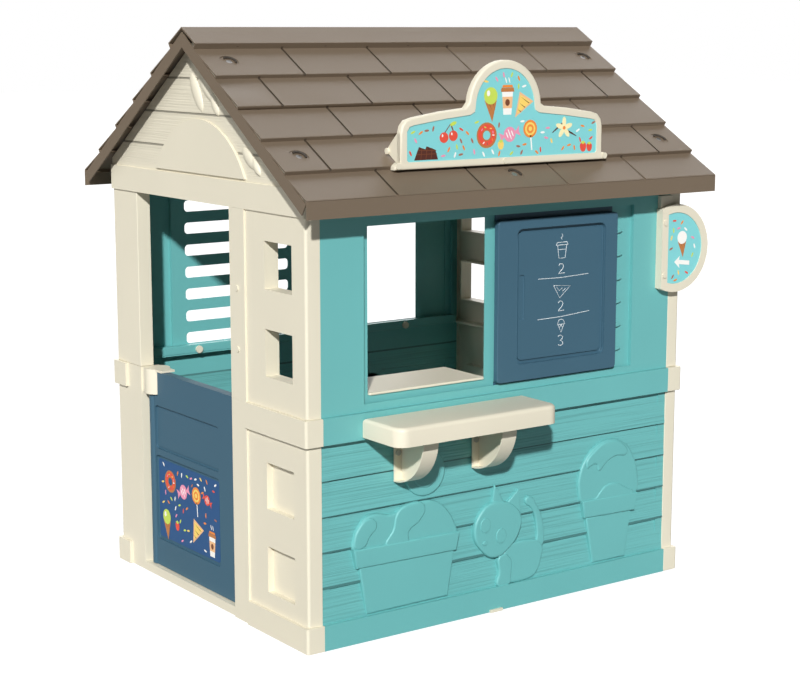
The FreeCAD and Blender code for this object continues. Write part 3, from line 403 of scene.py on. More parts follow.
def oval(x, y, across, high, count=12, turn=0):
    """The points of an oval, for a plate."""
    slant = math.radians(turn)
    ring = []
    for number in range(count):
        angle = math.tau * number / count
        a, b = across * math.cos(angle), high * math.sin(angle)
        ring.append((x + a * math.cos(slant) - b * math.sin(slant),
                     y + a * math.sin(slant) + b * math.cos(slant)))
    return ring


TEAL = (0.150, 0.47, 0.465)
SHORT_EDGE = 0.003
# The planks' finish paints shade as a dark band under each lap.
plank_finish = moulded("teal_planks", TEAL, (2.2, 2.2, 210), (0.056, 0.432),
                       laps=(0.434, 0.358, 0.2835, 0.209, 0.1345))
teal_finish = moulded("teal_panel", TEAL)
for wall, facing in (("wall_front_lower", -1), ("wall_back_lower", 1)):
    piece = casting(wall)
    middle = sum(corner[1] for corner in piece.bound_box) / 8

    def outer_edge(a, b):
        """The long edges on the wall's outer side; those round a screw hole stay sharp."""
        return (a - b).length > SHORT_EDGE and ((a.y + b.y) / 2 - middle) * facing > 0

    bevel_edges(piece, outer_edge, 0.0012, 2, only_sharp=True)
    smooth(piece)
    fit(piece, "shell", "wall", plank_finish, wall)

# The low pictures pressed out of the planks: a planter, a potted bush, a cat and a medallion.
# Each is a handful of soft rounded plates, the leaves lying over one another.
PLANTER = ((-403, 200), (-402, 228), (-388, 253), (-369, 268), (-340, 271), (-312, 264),
           (-266, 272), (-220, 280), (-184, 272), (-158, 250), (-139, 219), (-134, 196))
PLANTER_LEAVES = (((-322, 196), (-303, 232), (-296, 260), (-281, 275), (-256, 281),
                   (-230, 279), (-219, 267), (-234, 238), (-262, 219), (-264, 196)),
                  ((-400, 204), (-402, 226), (-389, 250), (-371, 264), (-352, 262),
                   (-344, 244), (-362, 224), (-376, 204)))
BUSH = ((224, 204), (212, 238), (214, 268), (230, 303), (262, 331), (308, 343), (349, 330),
        (376, 300), (393, 251), (388, 204))
BUSH_LEAVES = (((234, 286), (262, 290), (271, 273), (294, 290), (320, 301), (358, 304),
                (346, 327), (308, 340), (266, 329)),
               ((236, 203), (262, 212), (277, 226), (292, 237), (321, 240), (352, 226),
                (380, 203)))
RELIEF_PLANE, RELIEF_BACK = 413.5, -0.8
for side, turn in (("front", 0), ("back", 180)):
    shapes = [plate("leaves", PLANTER, 17, 5), plate("leaves", BUSH, 17, 5)]
    for leaf in PLANTER_LEAVES + BUSH_LEAVES:
        shapes.append(plate("leaf", leaf, 22, 4.5))
    for rim in (((-404, 203), (-128, 199), (-137, 158), (-396, 161)),
                ((222, 210), (390, 207), (383, 165), (229, 169))):
        shapes.append(plate("rim", rim, 25, 4, curved=False))
    for pot in (((-389, 162), (-141, 160), (-158, 59), (-370, 58)),
                ((235, 169), (374, 166), (357, 58), (257, 59))):
        shapes.append(plate("pot", pot, 18, 4, curved=False))
    if side == "front":
        shapes.append(plate("tail", ((58, 232), (62, 244), (74, 244), (91, 222), (107, 188),
                                     (112, 158), (108, 126), (94, 126), (92, 160), (86, 196),
                                     (74, 218)), 15, 3.5))
        shapes.append(plate("body", ((14, 142), (40, 147), (66, 146), (94, 140), (108, 124),
                                     (104, 96), (88, 64), (60, 55), (14, 55), (-12, 57),
                                     (-18, 84), (-8, 118)), 17, 4))
        shapes.append(plate("leg", ((-16, 122), (12, 118), (17, 72), (15, 56), (-22, 56),
                                    (-17, 84)), 21, 4))
        for ear in (((-38, 234), (-31, 288), (0, 238)), ((0, 236), (37, 266), (46, 204))):
            shapes.append(plate("ear", ear, 18, 4, curved=False))
        shapes.append(plate("head", ((-88, 186), (-72, 228), (-42, 247), (-8, 246), (24, 232),
                                     (44, 204), (38, 168), (10, 137), (-30, 121), (-66, 142)),
                            24, 5))
        for eye in ((-59, 200), (-15, 170)):
            shapes.append(plate("eye", oval(*eye, 14, 17), 27.5, 1.5))
        shapes.append(plate("nose", oval(-60, 160, 7, 5), 28, 1.5))
    shapes.append(plate("medallion", oval(-218, 342, 52, 52, 20), 16, 4))
    shapes.append(plate("medallion_top", oval(-218, 342, 34, 34, 20), 21, 4))
    for shape in shapes:
        alone(shape)
        bpy.ops.object.mode_set(mode="EDIT")
        bpy.ops.mesh.select_all(action="SELECT")
        bpy.ops.mesh.bisect(plane_co=(0, 0, RELIEF_BACK * MM), plane_no=(0, 0, 1), use_fill=True,
                            clear_inner=True)
        bpy.ops.mesh.select_all(action="SELECT")
        bpy.ops.mesh.normals_make_consistent(inside=False)
        bpy.ops.object.mode_set(mode="OBJECT")
    relief = together(f"wall_pictures_{side}", shapes)
    stand(relief, house(0, RELIEF_PLANE if turn else -RELIEF_PLANE, 0), turn)
    smooth(relief, 50)
    fit(relief, "shell", "wall", teal_finish)

# ---- Upper long walls -------------------------------------------------------------------
# A smooth teal panel with a shallow recess. In it are a square window and seven louvre
# slots, whose blades lean out; the shutter slides in front between two lips.

for wall in ("wall_front_upper", "wall_back_upper"):
    piece = casting(wall)
    soften(piece, 0.0012)
    fit(piece, "shell", "wall", teal_finish, wall)
teeth = []
for tip in (818, 765, 711, 658, 604, 550):
    teeth.append(plate("tooth", ((311, tip + 15), (321, tip + 11), (338, tip), (329, tip - 4),
                                 (311, tip - 5)), 11, 2, curved=False))
teeth = together("louvre_ends", teeth)
stand(teeth, house(0, -408.5, 0))
smooth(teeth)
fit(teeth, "shell", "wall", teal_finish)
for rail in ("inner_rail_front", "inner_rail_back"):
    piece = casting(rail)
    soften(piece, 0.0015)
    fit(piece, "shell", "wall", teal_finish, rail)

# ---- Gables -----------------------------------------------------------------------------
# Cream panels with returned edges: a wide one with square windows and blind squares, a
# narrow post across the doorway, and bands and collars that wrap round the corners.


def outer_corner(a, b):
    """Tall upright edges at the four corners of the house."""
    a, b = a - HOUSE, b - HOUSE
    upright = abs(a.x - b.x) + abs(a.y - b.y) < 0.0002 and abs(a.z - b.z) > 0.012
    return upright and abs(a.x) > 0.510 and abs(a.y) > 0.416


CREAM = (0.775, 0.722, 0.575)
cream_finish = moulded("cream_panel", CREAM, rough=0.48)
for side in ("left", "right"):
    for part in (f"gable_{side}_lower", f"side_panel_{side}", f"upper_post_{side}"):
        piece = casting(part)
        bevel_edges(piece, outer_corner, 0.006)
        soften(piece, 0.0016)
        fit(piece, "shell", "gable", cream_finish, part)

# ---- Pediments --------------------------------------------------------------------------
# The boarded cream triangle under the roof, with a plain beam at its foot and an arched
# boss in the middle. Moulded icing drips hang from its edge near the top and at one side.

PEDIMENT_FACE, HALF_BOARD = 512, 420
BOARD_LAPS = (1013.5, 1088, 1163)
arch_radius, arch_centre = 220, 856
# The boards' finish paints shade as a dark line under each lap, clear of the boss.
board_finish = moulded("cream_boards", CREAM, (2.2, 2.2, 260), (0.965, 1.24), rough=0.48,
                       laps=tuple(lap * MM for lap in BOARD_LAPS),
                       boss=(arch_centre * MM, (arch_radius + 2) * MM), worn=0.09)
for side, way in (("left", 1), ("right", -1)):
    node = f"pediment_{side}"
    piece = casting(node)
    face = -PEDIMENT_FACE * way
    grooves = []
    for height in BOARD_LAPS:
        reach = arch_radius ** 2 - (height - arch_centre) ** 2
        inner = math.sqrt(reach) + 3 if reach > 0 else 0
        xs = sorted((face - 4 * way, face + 1.8 * way))
        spans = (((-HALF_BOARD, -inner), (inner, HALF_BOARD)) if inner
                 else ((-HALF_BOARD, HALF_BOARD),))
        for span in spans:
            grooves.append(block("board_line", house(xs[0], span[0], height - 3.2),
                                 house(xs[1], span[1], height + 0.6)))
    cut(piece, [together("board_lines", grooves)])
    soften(piece, 0.0009)
    fit(piece, "shell", "gable", board_finish, node)

    drips = []
    for top, tip, width in (((30, 1166), (-12, 1098), 17), ((-6, 1168), (-60, 1120), 15),
                            ((-58, 1128), (-80, 1092), 12), ((-186, 1018), (-230, 988), 14),
                            ((-226, 1000), (-246, 976), 10)):
        start = house(face + way, top[0] * way, top[1])
        end = house(face + way, tip[0] * way, tip[1])
        bpy.ops.object.select_all(action="DESELECT")
        bpy.ops.mesh.primitive_uv_sphere_add(segments=24, ring_count=14, radius=1,
                                             location=(start + end) / 2)
        drip = bpy.context.object
        drip.scale = (7 * MM, width * MM, (end - start).length / 2 + 7 * MM)
        drip.rotation_euler = (-math.atan2((end - start).y, (end - start).z) + math.pi, 0, 0)
        bpy.ops.object.transform_apply(location=True, rotation=True, scale=True)
        drips.append(drip)
    drips = together(f"icing_drips_{side}", drips)
    bpy.ops.object.shade_smooth()
    fit(drips, "shell", "gable", cream_finish)

# ---- Roof -------------------------------------------------------------------------------
# Two brown panels of lapped shingles. Each course is scored into shingles, the joints of one
# course standing over the middles of the next, with shade painted dark in the joints; round
# dimples take the screws, each with a dark crescent plate as a painted shadow.

BROWN = (0.178, 0.134, 0.092)
EAVE, EAVE_TOP, RIDGE = 486, 939, 1270
SLOPE = math.atan((RIDGE - EAVE_TOP) / EAVE)
SLOPE_LENGTH = math.hypot(RIDGE - EAVE_TOP, EAVE)
FIRST_COURSE, COURSE, COURSE_DROP = 92, 107, 9
COURSES = 5
JOINT_PITCH, JOINT_WIDTH, JOINT_DEPTH = 223, 5.2, 2.5
DIMPLE_RADIUS, DIMPLE_DEPTH = 21, 3.2
# The dark crescent painted as a shadow in each screw dimple: its outer and inner radius and
# thickness.
SHADOW_OUTER, SHADOW_INNER, SHADOW_DEPTH = 16.5, 12, 3.6


def joint_shade_mask(place):
    """Painted shade in the joints, which shift by half a pitch from one course to the next."""
    pitch = JOINT_PITCH * MM
    x = place.node("ShaderNodeSeparateXYZ", {}, {"Vector": place}) - HOUSE.x
    up = place.node("ShaderNodeSeparateXYZ", {}, {"Vector": place}, out=2)
    climbed = (up - EAVE_TOP * MM) * (1 / math.sin(SLOPE)) - (FIRST_COURSE - 6) * MM
    course = climbed * (1 / (COURSE * MM))
    odd = (course.maths("FLOOR") + 9).maths("MODULO", 2) * (course > -0.85)
    shift = (odd - 1).maths("ABSOLUTE") * (pitch / 2)
    off = ((x + shift + 10 * pitch) * (1 / pitch)).maths("FRACT")
    near = (off - 0.5).maths("ABSOLUTE") > 0.5 - 0.0125
    on_shingles = (course < 4.02) * (x.maths("ABSOLUTE") < 0.53)
    return near * on_shingles * (up > (EAVE_TOP + 1.5) * MM)


def on_slope(x, along, above):
    """A place by the front slope: its way up from the eave, and out from the slope."""
    return house(x, -EAVE + along * math.cos(SLOPE) - above * math.sin(SLOPE),
                 EAVE_TOP + along * math.sin(SLOPE) + above * math.cos(SLOPE))


def lay(mark, spot, lean):
    """Move the new shape to its place on the roof."""
    mark.location = spot
    mark.rotation_euler = (lean, 0, 0)
    bpy.ops.object.transform_apply(location=True, rotation=True, scale=True)
    return mark


# The shingles' finish paints shade dark in the scored joints.
roof_finish = moulded("brown_shingles", BROWN, rough=0.5, painted_shade=joint_shade_mask)
# A dark-brown finish for the crescents, a painted shadow in the dimples.
crescent_shadow_finish = moulded("brown_dimple_shadow", shade(BROWN, 0.22)[:3], rough=0.7)
starts = [0] + [FIRST_COURSE + COURSE * number for number in range(COURSES)]
ends = starts[1:] + [SLOPE_LENGTH]
even, odd = (-335, -112, 112, 335), (-446, -223, 0, 223, 446)
shadow_crescent = [(radius * math.cos(math.radians(step)), radius * math.sin(math.radians(step)))
             for radius, steps in ((SHADOW_OUTER, range(-25, 131, 12)),
                                   (SHADOW_INNER, range(131, -26, -12))) for step in steps]
for side, turned in (("front", False), ("back", True)):
    node = f"roof_panel_{side}"
    piece = casting(node)
    scores = []
    for number in range(COURSES):
        low, high = starts[number], ends[number]
        lean = SLOPE - math.atan(COURSE_DROP / (high - low))
        for joint in (even, odd)[number % 2]:
            bpy.ops.object.select_all(action="DESELECT")
            bpy.ops.mesh.primitive_cube_add(size=1)
            score = bpy.context.object
            score.dimensions = Vector((JOINT_WIDTH, high - low + 4, 2 * JOINT_DEPTH)) * MM
            bpy.ops.object.transform_apply(location=False, rotation=False, scale=True)
            spot = on_slope(joint, (low + high) / 2 - 2, -COURSE_DROP / 2)
            scores.append(lay(score, spot, lean))
    shadow_arcs = []
    for x, along in ((-490, 145), (490, 145), (-490, 470), (490, 470), (0, 52)):
        number = max(index for index in range(COURSES) if starts[index] < along)
        low, high = starts[number], ends[number]
        lean = SLOPE - math.atan(COURSE_DROP / (high - low))
        spot = on_slope(x, along, -COURSE_DROP * (along - low) / (high - low))
        bpy.ops.object.select_all(action="DESELECT")
        bpy.ops.mesh.primitive_cylinder_add(vertices=40, radius=DIMPLE_RADIUS * MM,
                                            depth=DIMPLE_DEPTH * MM)
        scores.append(lay(bpy.context.object, spot, lean))
        # A dark crescent plate in the dimple, a painted shadow under its rim.
        shadow_arcs.append(lay(plate("arc", shadow_crescent, SHADOW_DEPTH, curved=False), spot, lean))
    scores = together("scores", scores)
    shadow_arcs = together(f"dimple_shadow_{side}", shadow_arcs)
    if turned:
        turn = Matrix.Translation(HOUSE) @ Matrix.Rotation(math.pi, 4, "Z") @ \
            Matrix.Translation(-HOUSE)
        scores.data.transform(turn)
        shadow_arcs.data.transform(turn)
    cut(piece, [scores])
    soften(piece, 0.0014)
    fit(piece, "shell", "roof", roof_finish, node)
    fit(shadow_arcs, "shell", "roof", crescent_shadow_finish)

# ---- Shelf, brackets and counter --------------------------------------------------------
# The cream serving shelf is an upturned tray with well rounded edges on two curved brackets.
# Inside the window a smaller counter hooks over the sill.

SHELF_CORNER, SHELF_RIM, SHELF_WALL = 0.028, 0.009, 0.003
low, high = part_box("serving_shelf")
shelf = block("serving_tray", low, high)
bevel_edges(shelf, lambda a, b: abs(a.z - b.z) > 0.01 and a.y < (low.y + high.y) / 2,
            SHELF_CORNER, 8)
bevel_edges(shelf, lambda a, b: min(a.z, b.z) > high.z - 0.0001, SHELF_RIM, 5)
bpy.ops.object.mode_set(mode="EDIT")
bpy.ops.mesh.select_mode(type="FACE")
bpy.ops.mesh.select_all(action="DESELECT")
bpy.ops.object.mode_set(mode="OBJECT")
for side_face in shelf.data.polygons:
    side_face.select = side_face.normal.z < -0.9
bpy.ops.object.mode_set(mode="EDIT")
bpy.ops.mesh.delete(type="FACE")
bpy.ops.object.mode_set(mode="OBJECT")
wall_thickness = shelf.modifiers.new("wall", "SOLIDIFY")
wall_thickness.thickness = SHELF_WALL
wall_thickness.offset = -1
apply_all(shelf)
bpy.ops.object.shade_smooth_by_angle(angle=math.radians(35))
fit(shelf, "shell", "gable", cream_finish, "serving_shelf")

for node in ("shelf_bracket_left", "shelf_bracket_right", "window_counter",
             "door_hinge_bracket"):
    piece = casting(node)
    soften(piece, 0.0012)
    fit(piece, "shell", "gable", cream_finish, node)

# ---- Serving shutter --------------------------------------------------------------------
# A dark blue board with a framed field like a chalkboard and a finger pull at its left. It
# hangs between the lips of the wall and slides over the window.

BLUE = (0.048, 0.122, 0.178)
BOARD_MIDDLE, CHALK_PLANE = -421, -422
FIELD_MIDDLE, PULL_MIDDLE, GROOVE_MIDDLE = -434, -431, -430.4
blue_finish = moulded("blue_panel", BLUE, rough=0.50)
low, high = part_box("serving_shutter")


def rounded(left, low, right, high, radius, steps=4):
    """The points of a rectangle with round corners, for a plate."""
    ring = []
    for x, z, start in ((right - radius, high - radius, 0), (left + radius, high - radius, 90),
                        (left + radius, low + radius, 180), (right - radius, low + radius, 270)):
        for step in range(steps + 1):
            angle = math.radians(start + 90 * step / steps)
            ring.append((x + radius * math.cos(angle), z + radius * math.sin(angle)))
    return ring


field = stand(plate("field", rounded(19.8, 546.8, 273.2, 843.2, 15), 24, 3, curved=False),
              house(0, FIELD_MIDDLE, 0))
pull = stand(plate("pull", rounded(31, 644, 46, 742, 4), 24, 1.2, curved=False),
             house(0, PULL_MIDDLE, 0))
piece = stand(plate("shutter_board", rounded(-32, 511, 309, 864, 9), 14, 1.6, curved=False),
              house(0, BOARD_MIDDLE, 0))
groove = stand(plate("groove", rounded(20.5, 547.5, 272.5, 842.5, 14), 24, 1, curved=False,
                     holes=(rounded(28.5, 555.5, 264.5, 834.5, 10),)),
               house(0, GROOVE_MIDDLE, 0))
cut(piece, [field, pull, groove])
tongues = [piece]
for root, web, tip in ((511.5, 513.5, low.z / MM), (861.5, 863.5, high.z / MM)):
    tongues.append(block("web", house(-28, -415, min(root, web)), house(305, -408.6, web)))
    tongues.append(block("tongue", house(-28, -412.6, min(root, tip)),
                         house(305, -408.6, max(web, tip))))
piece = together("shutter_board", tongues)
smooth(piece)
fit(piece, "shutter", "shutter", blue_finish, "serving_shutter")


def paint(red, green, blue):
    """A paint-chart colour, 0 to 255 a part, as the light it throws back."""
    return tuple((part / 255) ** 2.2 for part in (red, green, blue))


def dye(piece, colour):
    """Give a printed or drawn shape its own ink."""
    inks = piece.data.color_attributes.new("ink", "FLOAT_COLOR", "POINT")
    for point in inks.data:
        point.color = (*colour, 1)
    return piece


def line(points, width, colour, height=0.0, closed=False):
    """A drawn line through points, lying on its back."""
    curve = bpy.data.curves.new("line", "CURVE")
    curve.dimensions = "3D"
    spline = curve.splines.new("POLY")
    spline.points.add(len(points) - 1)
    for point, (x, y) in zip(spline.points, points):
        point.co = (x * MM, y * MM, height * MM, 1)
    spline.use_cyclic_u = closed
    curve.bevel_depth = width / 2 * MM
    curve.bevel_resolution = 1
    curve.use_fill_caps = True
    piece = bpy.data.objects.new("line", curve)
    bpy.context.scene.collection.objects.link(piece)
    alone(piece)
    bpy.ops.object.convert(target="MESH")
    return dye(bpy.context.object, colour)


def ink_finish(name, rough, broken, ground=(0, 0, 0)):
    """Ink that follows the colour held by each shape; chalk is broken by the board's grain."""
    place, shader, finish = start_finish(name)
    ink = place.node("ShaderNodeAttribute", {"attribute_name": "ink"}, {})
    speck = noise(place, 700, 3)
    tint = place.node("ShaderNodeMix", {"data_type": "RGBA"},
                      {"Factor": (speck > 0.56) * broken, 6: ink, 7: (*ground, 1)}, out=2)
    finish.node_tree.links.new(tint.socket, shader.inputs["Base Color"])
    finish.node_tree.links.new((speck * 0.12 + rough).socket, shader.inputs["Roughness"])
    return finish


# The menu on the board is chalk: two ruled lines, three numbers and a sketch for each.
CHALK = paint(226, 233, 236)
chalk = [line(((84, 729.5), (150, 728), (228, 731)), 1.6, CHALK),
         line(((84, 640), (150, 641), (232, 647)), 1.6, CHALK)]
TWO = ((-8, 8), (-4, 12), (3, 11), (6, 6), (3, 0), (-3, -5), (-8, -10), (9, -9))
THREE = ((-7, 9), (-1, 12), (6, 9), (5, 3), (-1, 0), (6, -3), (7, -9), (0, -12), (-7, -9))
for digit, z in ((TWO, 747), (TWO, 664), (THREE, 588)):
    chalk.append(line([(150 + x, z + y) for x, y in digit], 1.8, CHALK))
for sketch in (((138, 800), (142, 771), (160, 771), (164, 800)), ((134, 800), (168, 800)),
               ((137, 806), (165, 806)), ((134, 800), (137, 806)), ((165, 806), (168, 800)),
               ((140, 790), (162, 790)), ((151, 812), (148, 816), (153, 820), (150, 825)),
               ((128, 712), (176, 708), (146, 683), (128, 712)),
               ((137, 708), (144, 699), (152, 705), (154, 697), (162, 703)),
               ((142, 624), (151, 606), (160, 624)), ((140, 624), (162, 624)),
               ((146, 617), (155, 624)), ((156, 618), (147, 624))):
    chalk.append(line(sketch, 1.5, CHALK))
chalk.append(line(oval(151, 626, 9.5, 9, 16)[:9], 1.5, CHALK))
chalk = together("chalk_menu", chalk)
stand(chalk, house(0, CHALK_PLANE, 0))
chalk_finish = ink_finish("chalk", 0.85, 0.45, BLUE)
fit(chalk, "shutter", "shutter", chalk_finish)

# ---- Half door --------------------------------------------------------------------------
# The door is one blue moulding with two sunk fields and a round hinge edge. A fine groove
# runs round the foot of each field.

piece = casting("half_door")
for foot, head in ((86, 288), (303, 406)):
    ring = stand(plate("ring", rounded(-257.5, foot + 0.5, 37.5, head - 0.5, 9), 10, 0.8,
                       curved=False, holes=(rounded(-252, foot + 6, 32, head - 6, 6),)),
                 house(-499.6, 0, 0), -90)
    cut(piece, [ring])
soften(piece, 0.0016)
fit(piece, "door", "shutter", blue_finish, "half_door")

# ---- Signs ------------------------------------------------------------------------------
# Cream frames with a sunk printed face: an arched board that stands on the front slope and
# a round board, cut flat on one side, at the corner.

foot_outline = ((-299, 983), (-299, 990), (-290, 998), (266, 998),
                (275, 990), (275, 983))
arch = [(-12 + 97 * math.cos(math.radians(step)), 1105 + 97 * math.sin(math.radians(step)))
        for step in range(3, 178, 9)]
outer = [(260, 983), (260, 1056), (256, 1072), (246, 1083), (228, 1088), (160, 1098),
         (94, 1104)] + arch + [(-118, 1104), (-184, 1098), (-252, 1088), (-270, 1083),
                               (-280, 1072), (-284, 1056), (-284, 983)]
inner_arch = [(-13 + 80 * math.cos(math.radians(step)), 1104 + 81 * math.sin(math.radians(step)))
              for step in range(0, 181, 10)]
inner = [(240, 998), (244, 1002), (244, 1060), (238, 1070), (226, 1073), (150, 1083), (80, 1090),
         (69, 1096)] + inner_arch + [(-95, 1096), (-106, 1090), (-176, 1083), (-250, 1073),
                                     (-262, 1070), (-269, 1060), (-269, 1002), (-265, 998)]
board = stand(plate("sign_board", outer, 18, 4, curved=False), house(0, -415, 0))
sunk = stand(plate("sunk", inner, 20, 1, curved=False), house(0, -431, 0))
hollow = stand(plate("hollow", inner, 20, 1, curved=False), house(0, -408, 0))
cut(board, [sunk, hollow])
skirts = [board, stand(plate("foot", foot_outline, 18, 3, curved=False),
                       house(0, -415.2, 0))]
for x in (-281.5, 257.5):
    skirts.append(stand(plate("cheek", ((422, 986), (422, 1056), (416, 1064), (378, 1028),
                                        (372, 1018)), 5, 1.5, curved=False),
                        house(x, 0, 0), -90))
    skirts.append(stand(plate("ear", oval(378, 1019, 7, 7, 14), 7, 1.5, curved=False),
                        house(x + (-4 if x < 0 else 4), 0, 0), -90))
piece = together("roof_sign_moulding", skirts)
smooth(piece)
fit(piece, "shell", "gable", cream_finish, "roof_sign_frame")

piece = casting("corner_sign_frame")
soften(piece, 0.0018)
fit(piece, "shell", "gable", cream_finish, "corner_sign_frame")

# The printed faces are film with flat coloured pictures of sweets and scattered sprinkles.
WHITE, BROWN_INK = paint(250, 248, 242), paint(122, 72, 48)
LIME, CORAL = paint(200, 222, 92), paint(232, 84, 66)
PEACH, PINK = paint(243, 190, 140), paint(238, 150, 178)
YELLOW, ORANGE = paint(250, 214, 110), paint(240, 140, 62)
COCOA, BISCUIT = paint(84, 46, 38), paint(190, 122, 70)
SPRINKLES = (CORAL, ORANGE, LIME, WHITE, PINK, paint(168, 108, 88), YELLOW)
art = []


def draw(points, colour, layer=1, curved=False, holes=()):
    """One flat shape of the picture; a higher layer lies over a lower one."""
    shape = plate("shape", points, 0.1, 0, curved, holes)
    shape.location.z = (0.5 + 0.12 * layer) * MM
    bpy.ops.object.transform_apply(location=True, rotation=True, scale=True)
    art.append(dye(shape, colour))


def cone(x, z, size, scoop):
    draw(((x - 0.9 * size, z), (x + 0.9 * size, z), (x + 0.25 * size, z - 2.5 * size)),
         BISCUIT, 1)
    for step in (-0.45, 0.1):
        draw(((x + step * size, z), (x + (step + 0.12) * size, z),
              (x + (step + 0.62) * size, z - 1.1 * size)), BROWN_INK, 2)
    draw(oval(x, z + 0.55 * size, size, size, 20), scoop, 3)
    draw(oval(x - 0.35 * size, z + 0.85 * size, 0.25 * size, 0.35 * size), WHITE, 4)


def cup(x, z, size):
    draw(((x - size, z + 1.6 * size), (x + size, z + 1.6 * size),
          (x + 0.72 * size, z - 1.7 * size), (x - 0.72 * size, z - 1.7 * size)), WHITE, 1)
    draw(((x - 0.93 * size, z + 0.8 * size), (x + 0.93 * size, z + 0.8 * size),
          (x + 0.8 * size, z - 0.8 * size), (x - 0.8 * size, z - 0.8 * size)), PEACH, 2)
    draw(oval(x, z, 0.42 * size, 0.48 * size), BROWN_INK, 3)
    draw(((x - 1.2 * size, z + 1.5 * size), (x + 1.2 * size, z + 1.5 * size),
          (x + 1.1 * size, z + 2.05 * size), (x - 1.1 * size, z + 2.05 * size)), BISCUIT, 3)
    draw(((x - 0.95 * size, z + 2.1 * size), (x + 0.95 * size, z + 2.1 * size),
          (x + 0.85 * size, z + 2.45 * size), (x - 0.85 * size, z + 2.45 * size)), ORANGE, 3)
    for step in (-0.3, 0.3):
        draw(oval(x + step * size, z + 3.1 * size, 0.1 * size, 0.45 * size, 8, 18), WHITE, 2)


def pancake(a, b, c):
    draw((a, b, c), PEACH, 1)
    a, b, c = (Vector(corner) for corner in (a, b, c))
    middle = (a + b + c) / 3
    draw([tuple(middle + (corner - middle) * 0.74) for corner in (a, b, c)], YELLOW, 2)
    for step in (0.15, 0.4, 0.65):
        one, two = a.lerp(c, step), b.lerp(c, step)
        draw((tuple(one.lerp(two, 0.12)), tuple(one.lerp(two, 0.24)),
              tuple(one.lerp(two, 0.92)), tuple(one.lerp(two, 0.8) - Vector((0, 2)))),
             COCOA, 3)


def doughnut(x, z, size, icing):
    draw(oval(x, z, size, size, 22), BISCUIT, 1,
         holes=(oval(x, z, 0.36 * size, 0.36 * size, 14),))
    draw(oval(x, z + 0.03 * size, 0.86 * size, 0.84 * size, 22), icing, 2,
         holes=(oval(x, z, 0.46 * size, 0.46 * size, 14),))
    for step in range(9):
        angle = step * 2.4
        draw(oval(x + 0.65 * size * math.cos(angle), z + 0.65 * size * math.sin(angle),
                  0.13 * size, 0.05 * size, 8, 57 * step), SPRINKLES[(step + 3) % 7], 4)


def sweet(x, z, size, colour, tilt):
    """A round sweet in a twisted wrapper."""
    slant = math.radians(tilt)
    for way in (-1, 1):
        ring = [(way * 0.8, 0), (way * 1.8, 0.7), (way * 1.6, 0), (way * 1.8, -0.7)]
        draw([(x + size * (a * math.cos(slant) - b * math.sin(slant)),
               z + size * (a * math.sin(slant) + b * math.cos(slant))) for a, b in ring],
             colour, 1)
    draw(oval(x, z, size, size, 20), colour, 2)
    for step in (-0.45, 0, 0.45):
        draw(oval(x + step * size * math.cos(slant), z + step * size * math.sin(slant),
                  0.09 * size, 0.8 * size * (1 - abs(step)), 10, tilt + 12), WHITE, 3)


def lollipop(x, z, size, colour, other):
    draw(((x - 0.1 * size, z), (x + 0.1 * size, z), (x + 0.35 * size, z - 2.4 * size),
          (x + 0.18 * size, z - 2.4 * size)), WHITE, 1)
    for step, tone in ((1.0, colour), (0.74, other), (0.5, colour), (0.26, other)):
        draw(oval(x, z, step * size, step * size, 20), tone, 5 - 4 * step)


def berry(x, z, size, colour, leaf):
    draw(((x - size, z + 0.4 * size), (x - 0.5 * size, z + size), (x + 0.5 * size, z + size),
          (x + size, z + 0.4 * size), (x + 0.1 * size, z - 1.2 * size)), colour, 1, True)
    draw(((x - 0.8 * size, z + 1.1 * size), (x, z + 0.6 * size), (x + 0.8 * size, z + 1.1 * size),
          (x, z + 1.5 * size)), leaf, 2)


def scatter(count, seed, inside, clear):
    """Sprinkles strewn where they keep clear of the pictures."""
    dice = random.Random(seed)
    laid = []
    for _ in range(count * 30):
        if len(laid) == count:
            break
        x, z = dice.uniform(inside[0], inside[2]), dice.uniform(inside[1], inside[3])
        if all(math.hypot(x - a, z - b) > reach for a, b, reach in clear) and \
                all(math.hypot(x - a, z - b) > 15 for a, b in laid):
            laid.append((x, z))
            draw(oval(x, z, 6.2, 2.3, 10, dice.uniform(0, 180)), dice.choice(SPRINKLES), 1)


def print_face(name, body, slot, ground, colour, place, turn, *replaced):
    """Lay the picture on its coloured film and put both on the part."""
    art.insert(0, dye(ground, colour))
    film = together(name, art)
    stand(film, place, turn)
    fit(film, body, slot, print_finish, *replaced)
    art.clear()


print_finish = ink_finish("printed_film", 0.34, 0.0)
cone(-52, 1118, 18, LIME)
cup(-7, 1113, 15)
pancake((26, 1135), (64, 1114), (14, 1081))
for x, z in ((-174, 1045), (-150, 1048)):
    draw(oval(x, z, 11.5, 11, 16), CORAL, 2)
    draw(oval(x - 4, z + 4, 2, 3), WHITE, 3)
    draw(((x - 1, z + 8), (x + 2, z + 8), (-155, 1074), (-158, 1073)), BROWN_INK, 1)
draw(oval(-150, 1073, 9, 4, 10, 20), LIME, 2)
draw(((-250, 1001), (-238, 1028), (-222, 1023), (-218, 1029), (-196, 1021), (-189, 1001)),
     COCOA, 1)
for a, b in (((-245, 1012), (-192, 1012)), ((-241, 1021), (-194, 1019))):
    draw((a, b, (b[0], b[1] + 1.4), (a[0], a[1] + 1.4)), BROWN_INK, 2)
for x in (-234, -221, -208):
    draw(((x, 1001), (x + 1.5, 1001), (x + 4.5, 1025), (x + 3, 1025)), BROWN_INK, 2)
for way in (-1, 1):
    draw(oval(151 + 15 * way, 1052 - 6 * way, 24, 1.9, 10, 35 - 60 * (way > 0)), COCOA, 1)
for step in range(5):
    angle = math.radians(90 + 72 * step)
    draw(oval(151 + 12 * math.cos(angle), 1055 + 12 * math.sin(angle), 12, 5.5, 12,
              90 + 72 * step), paint(252, 240, 186), 2 + 0.2 * step)
draw(oval(151, 1055, 4, 4), ORANGE, 4)
berry(206, 1012, 9, CORAL, LIME)
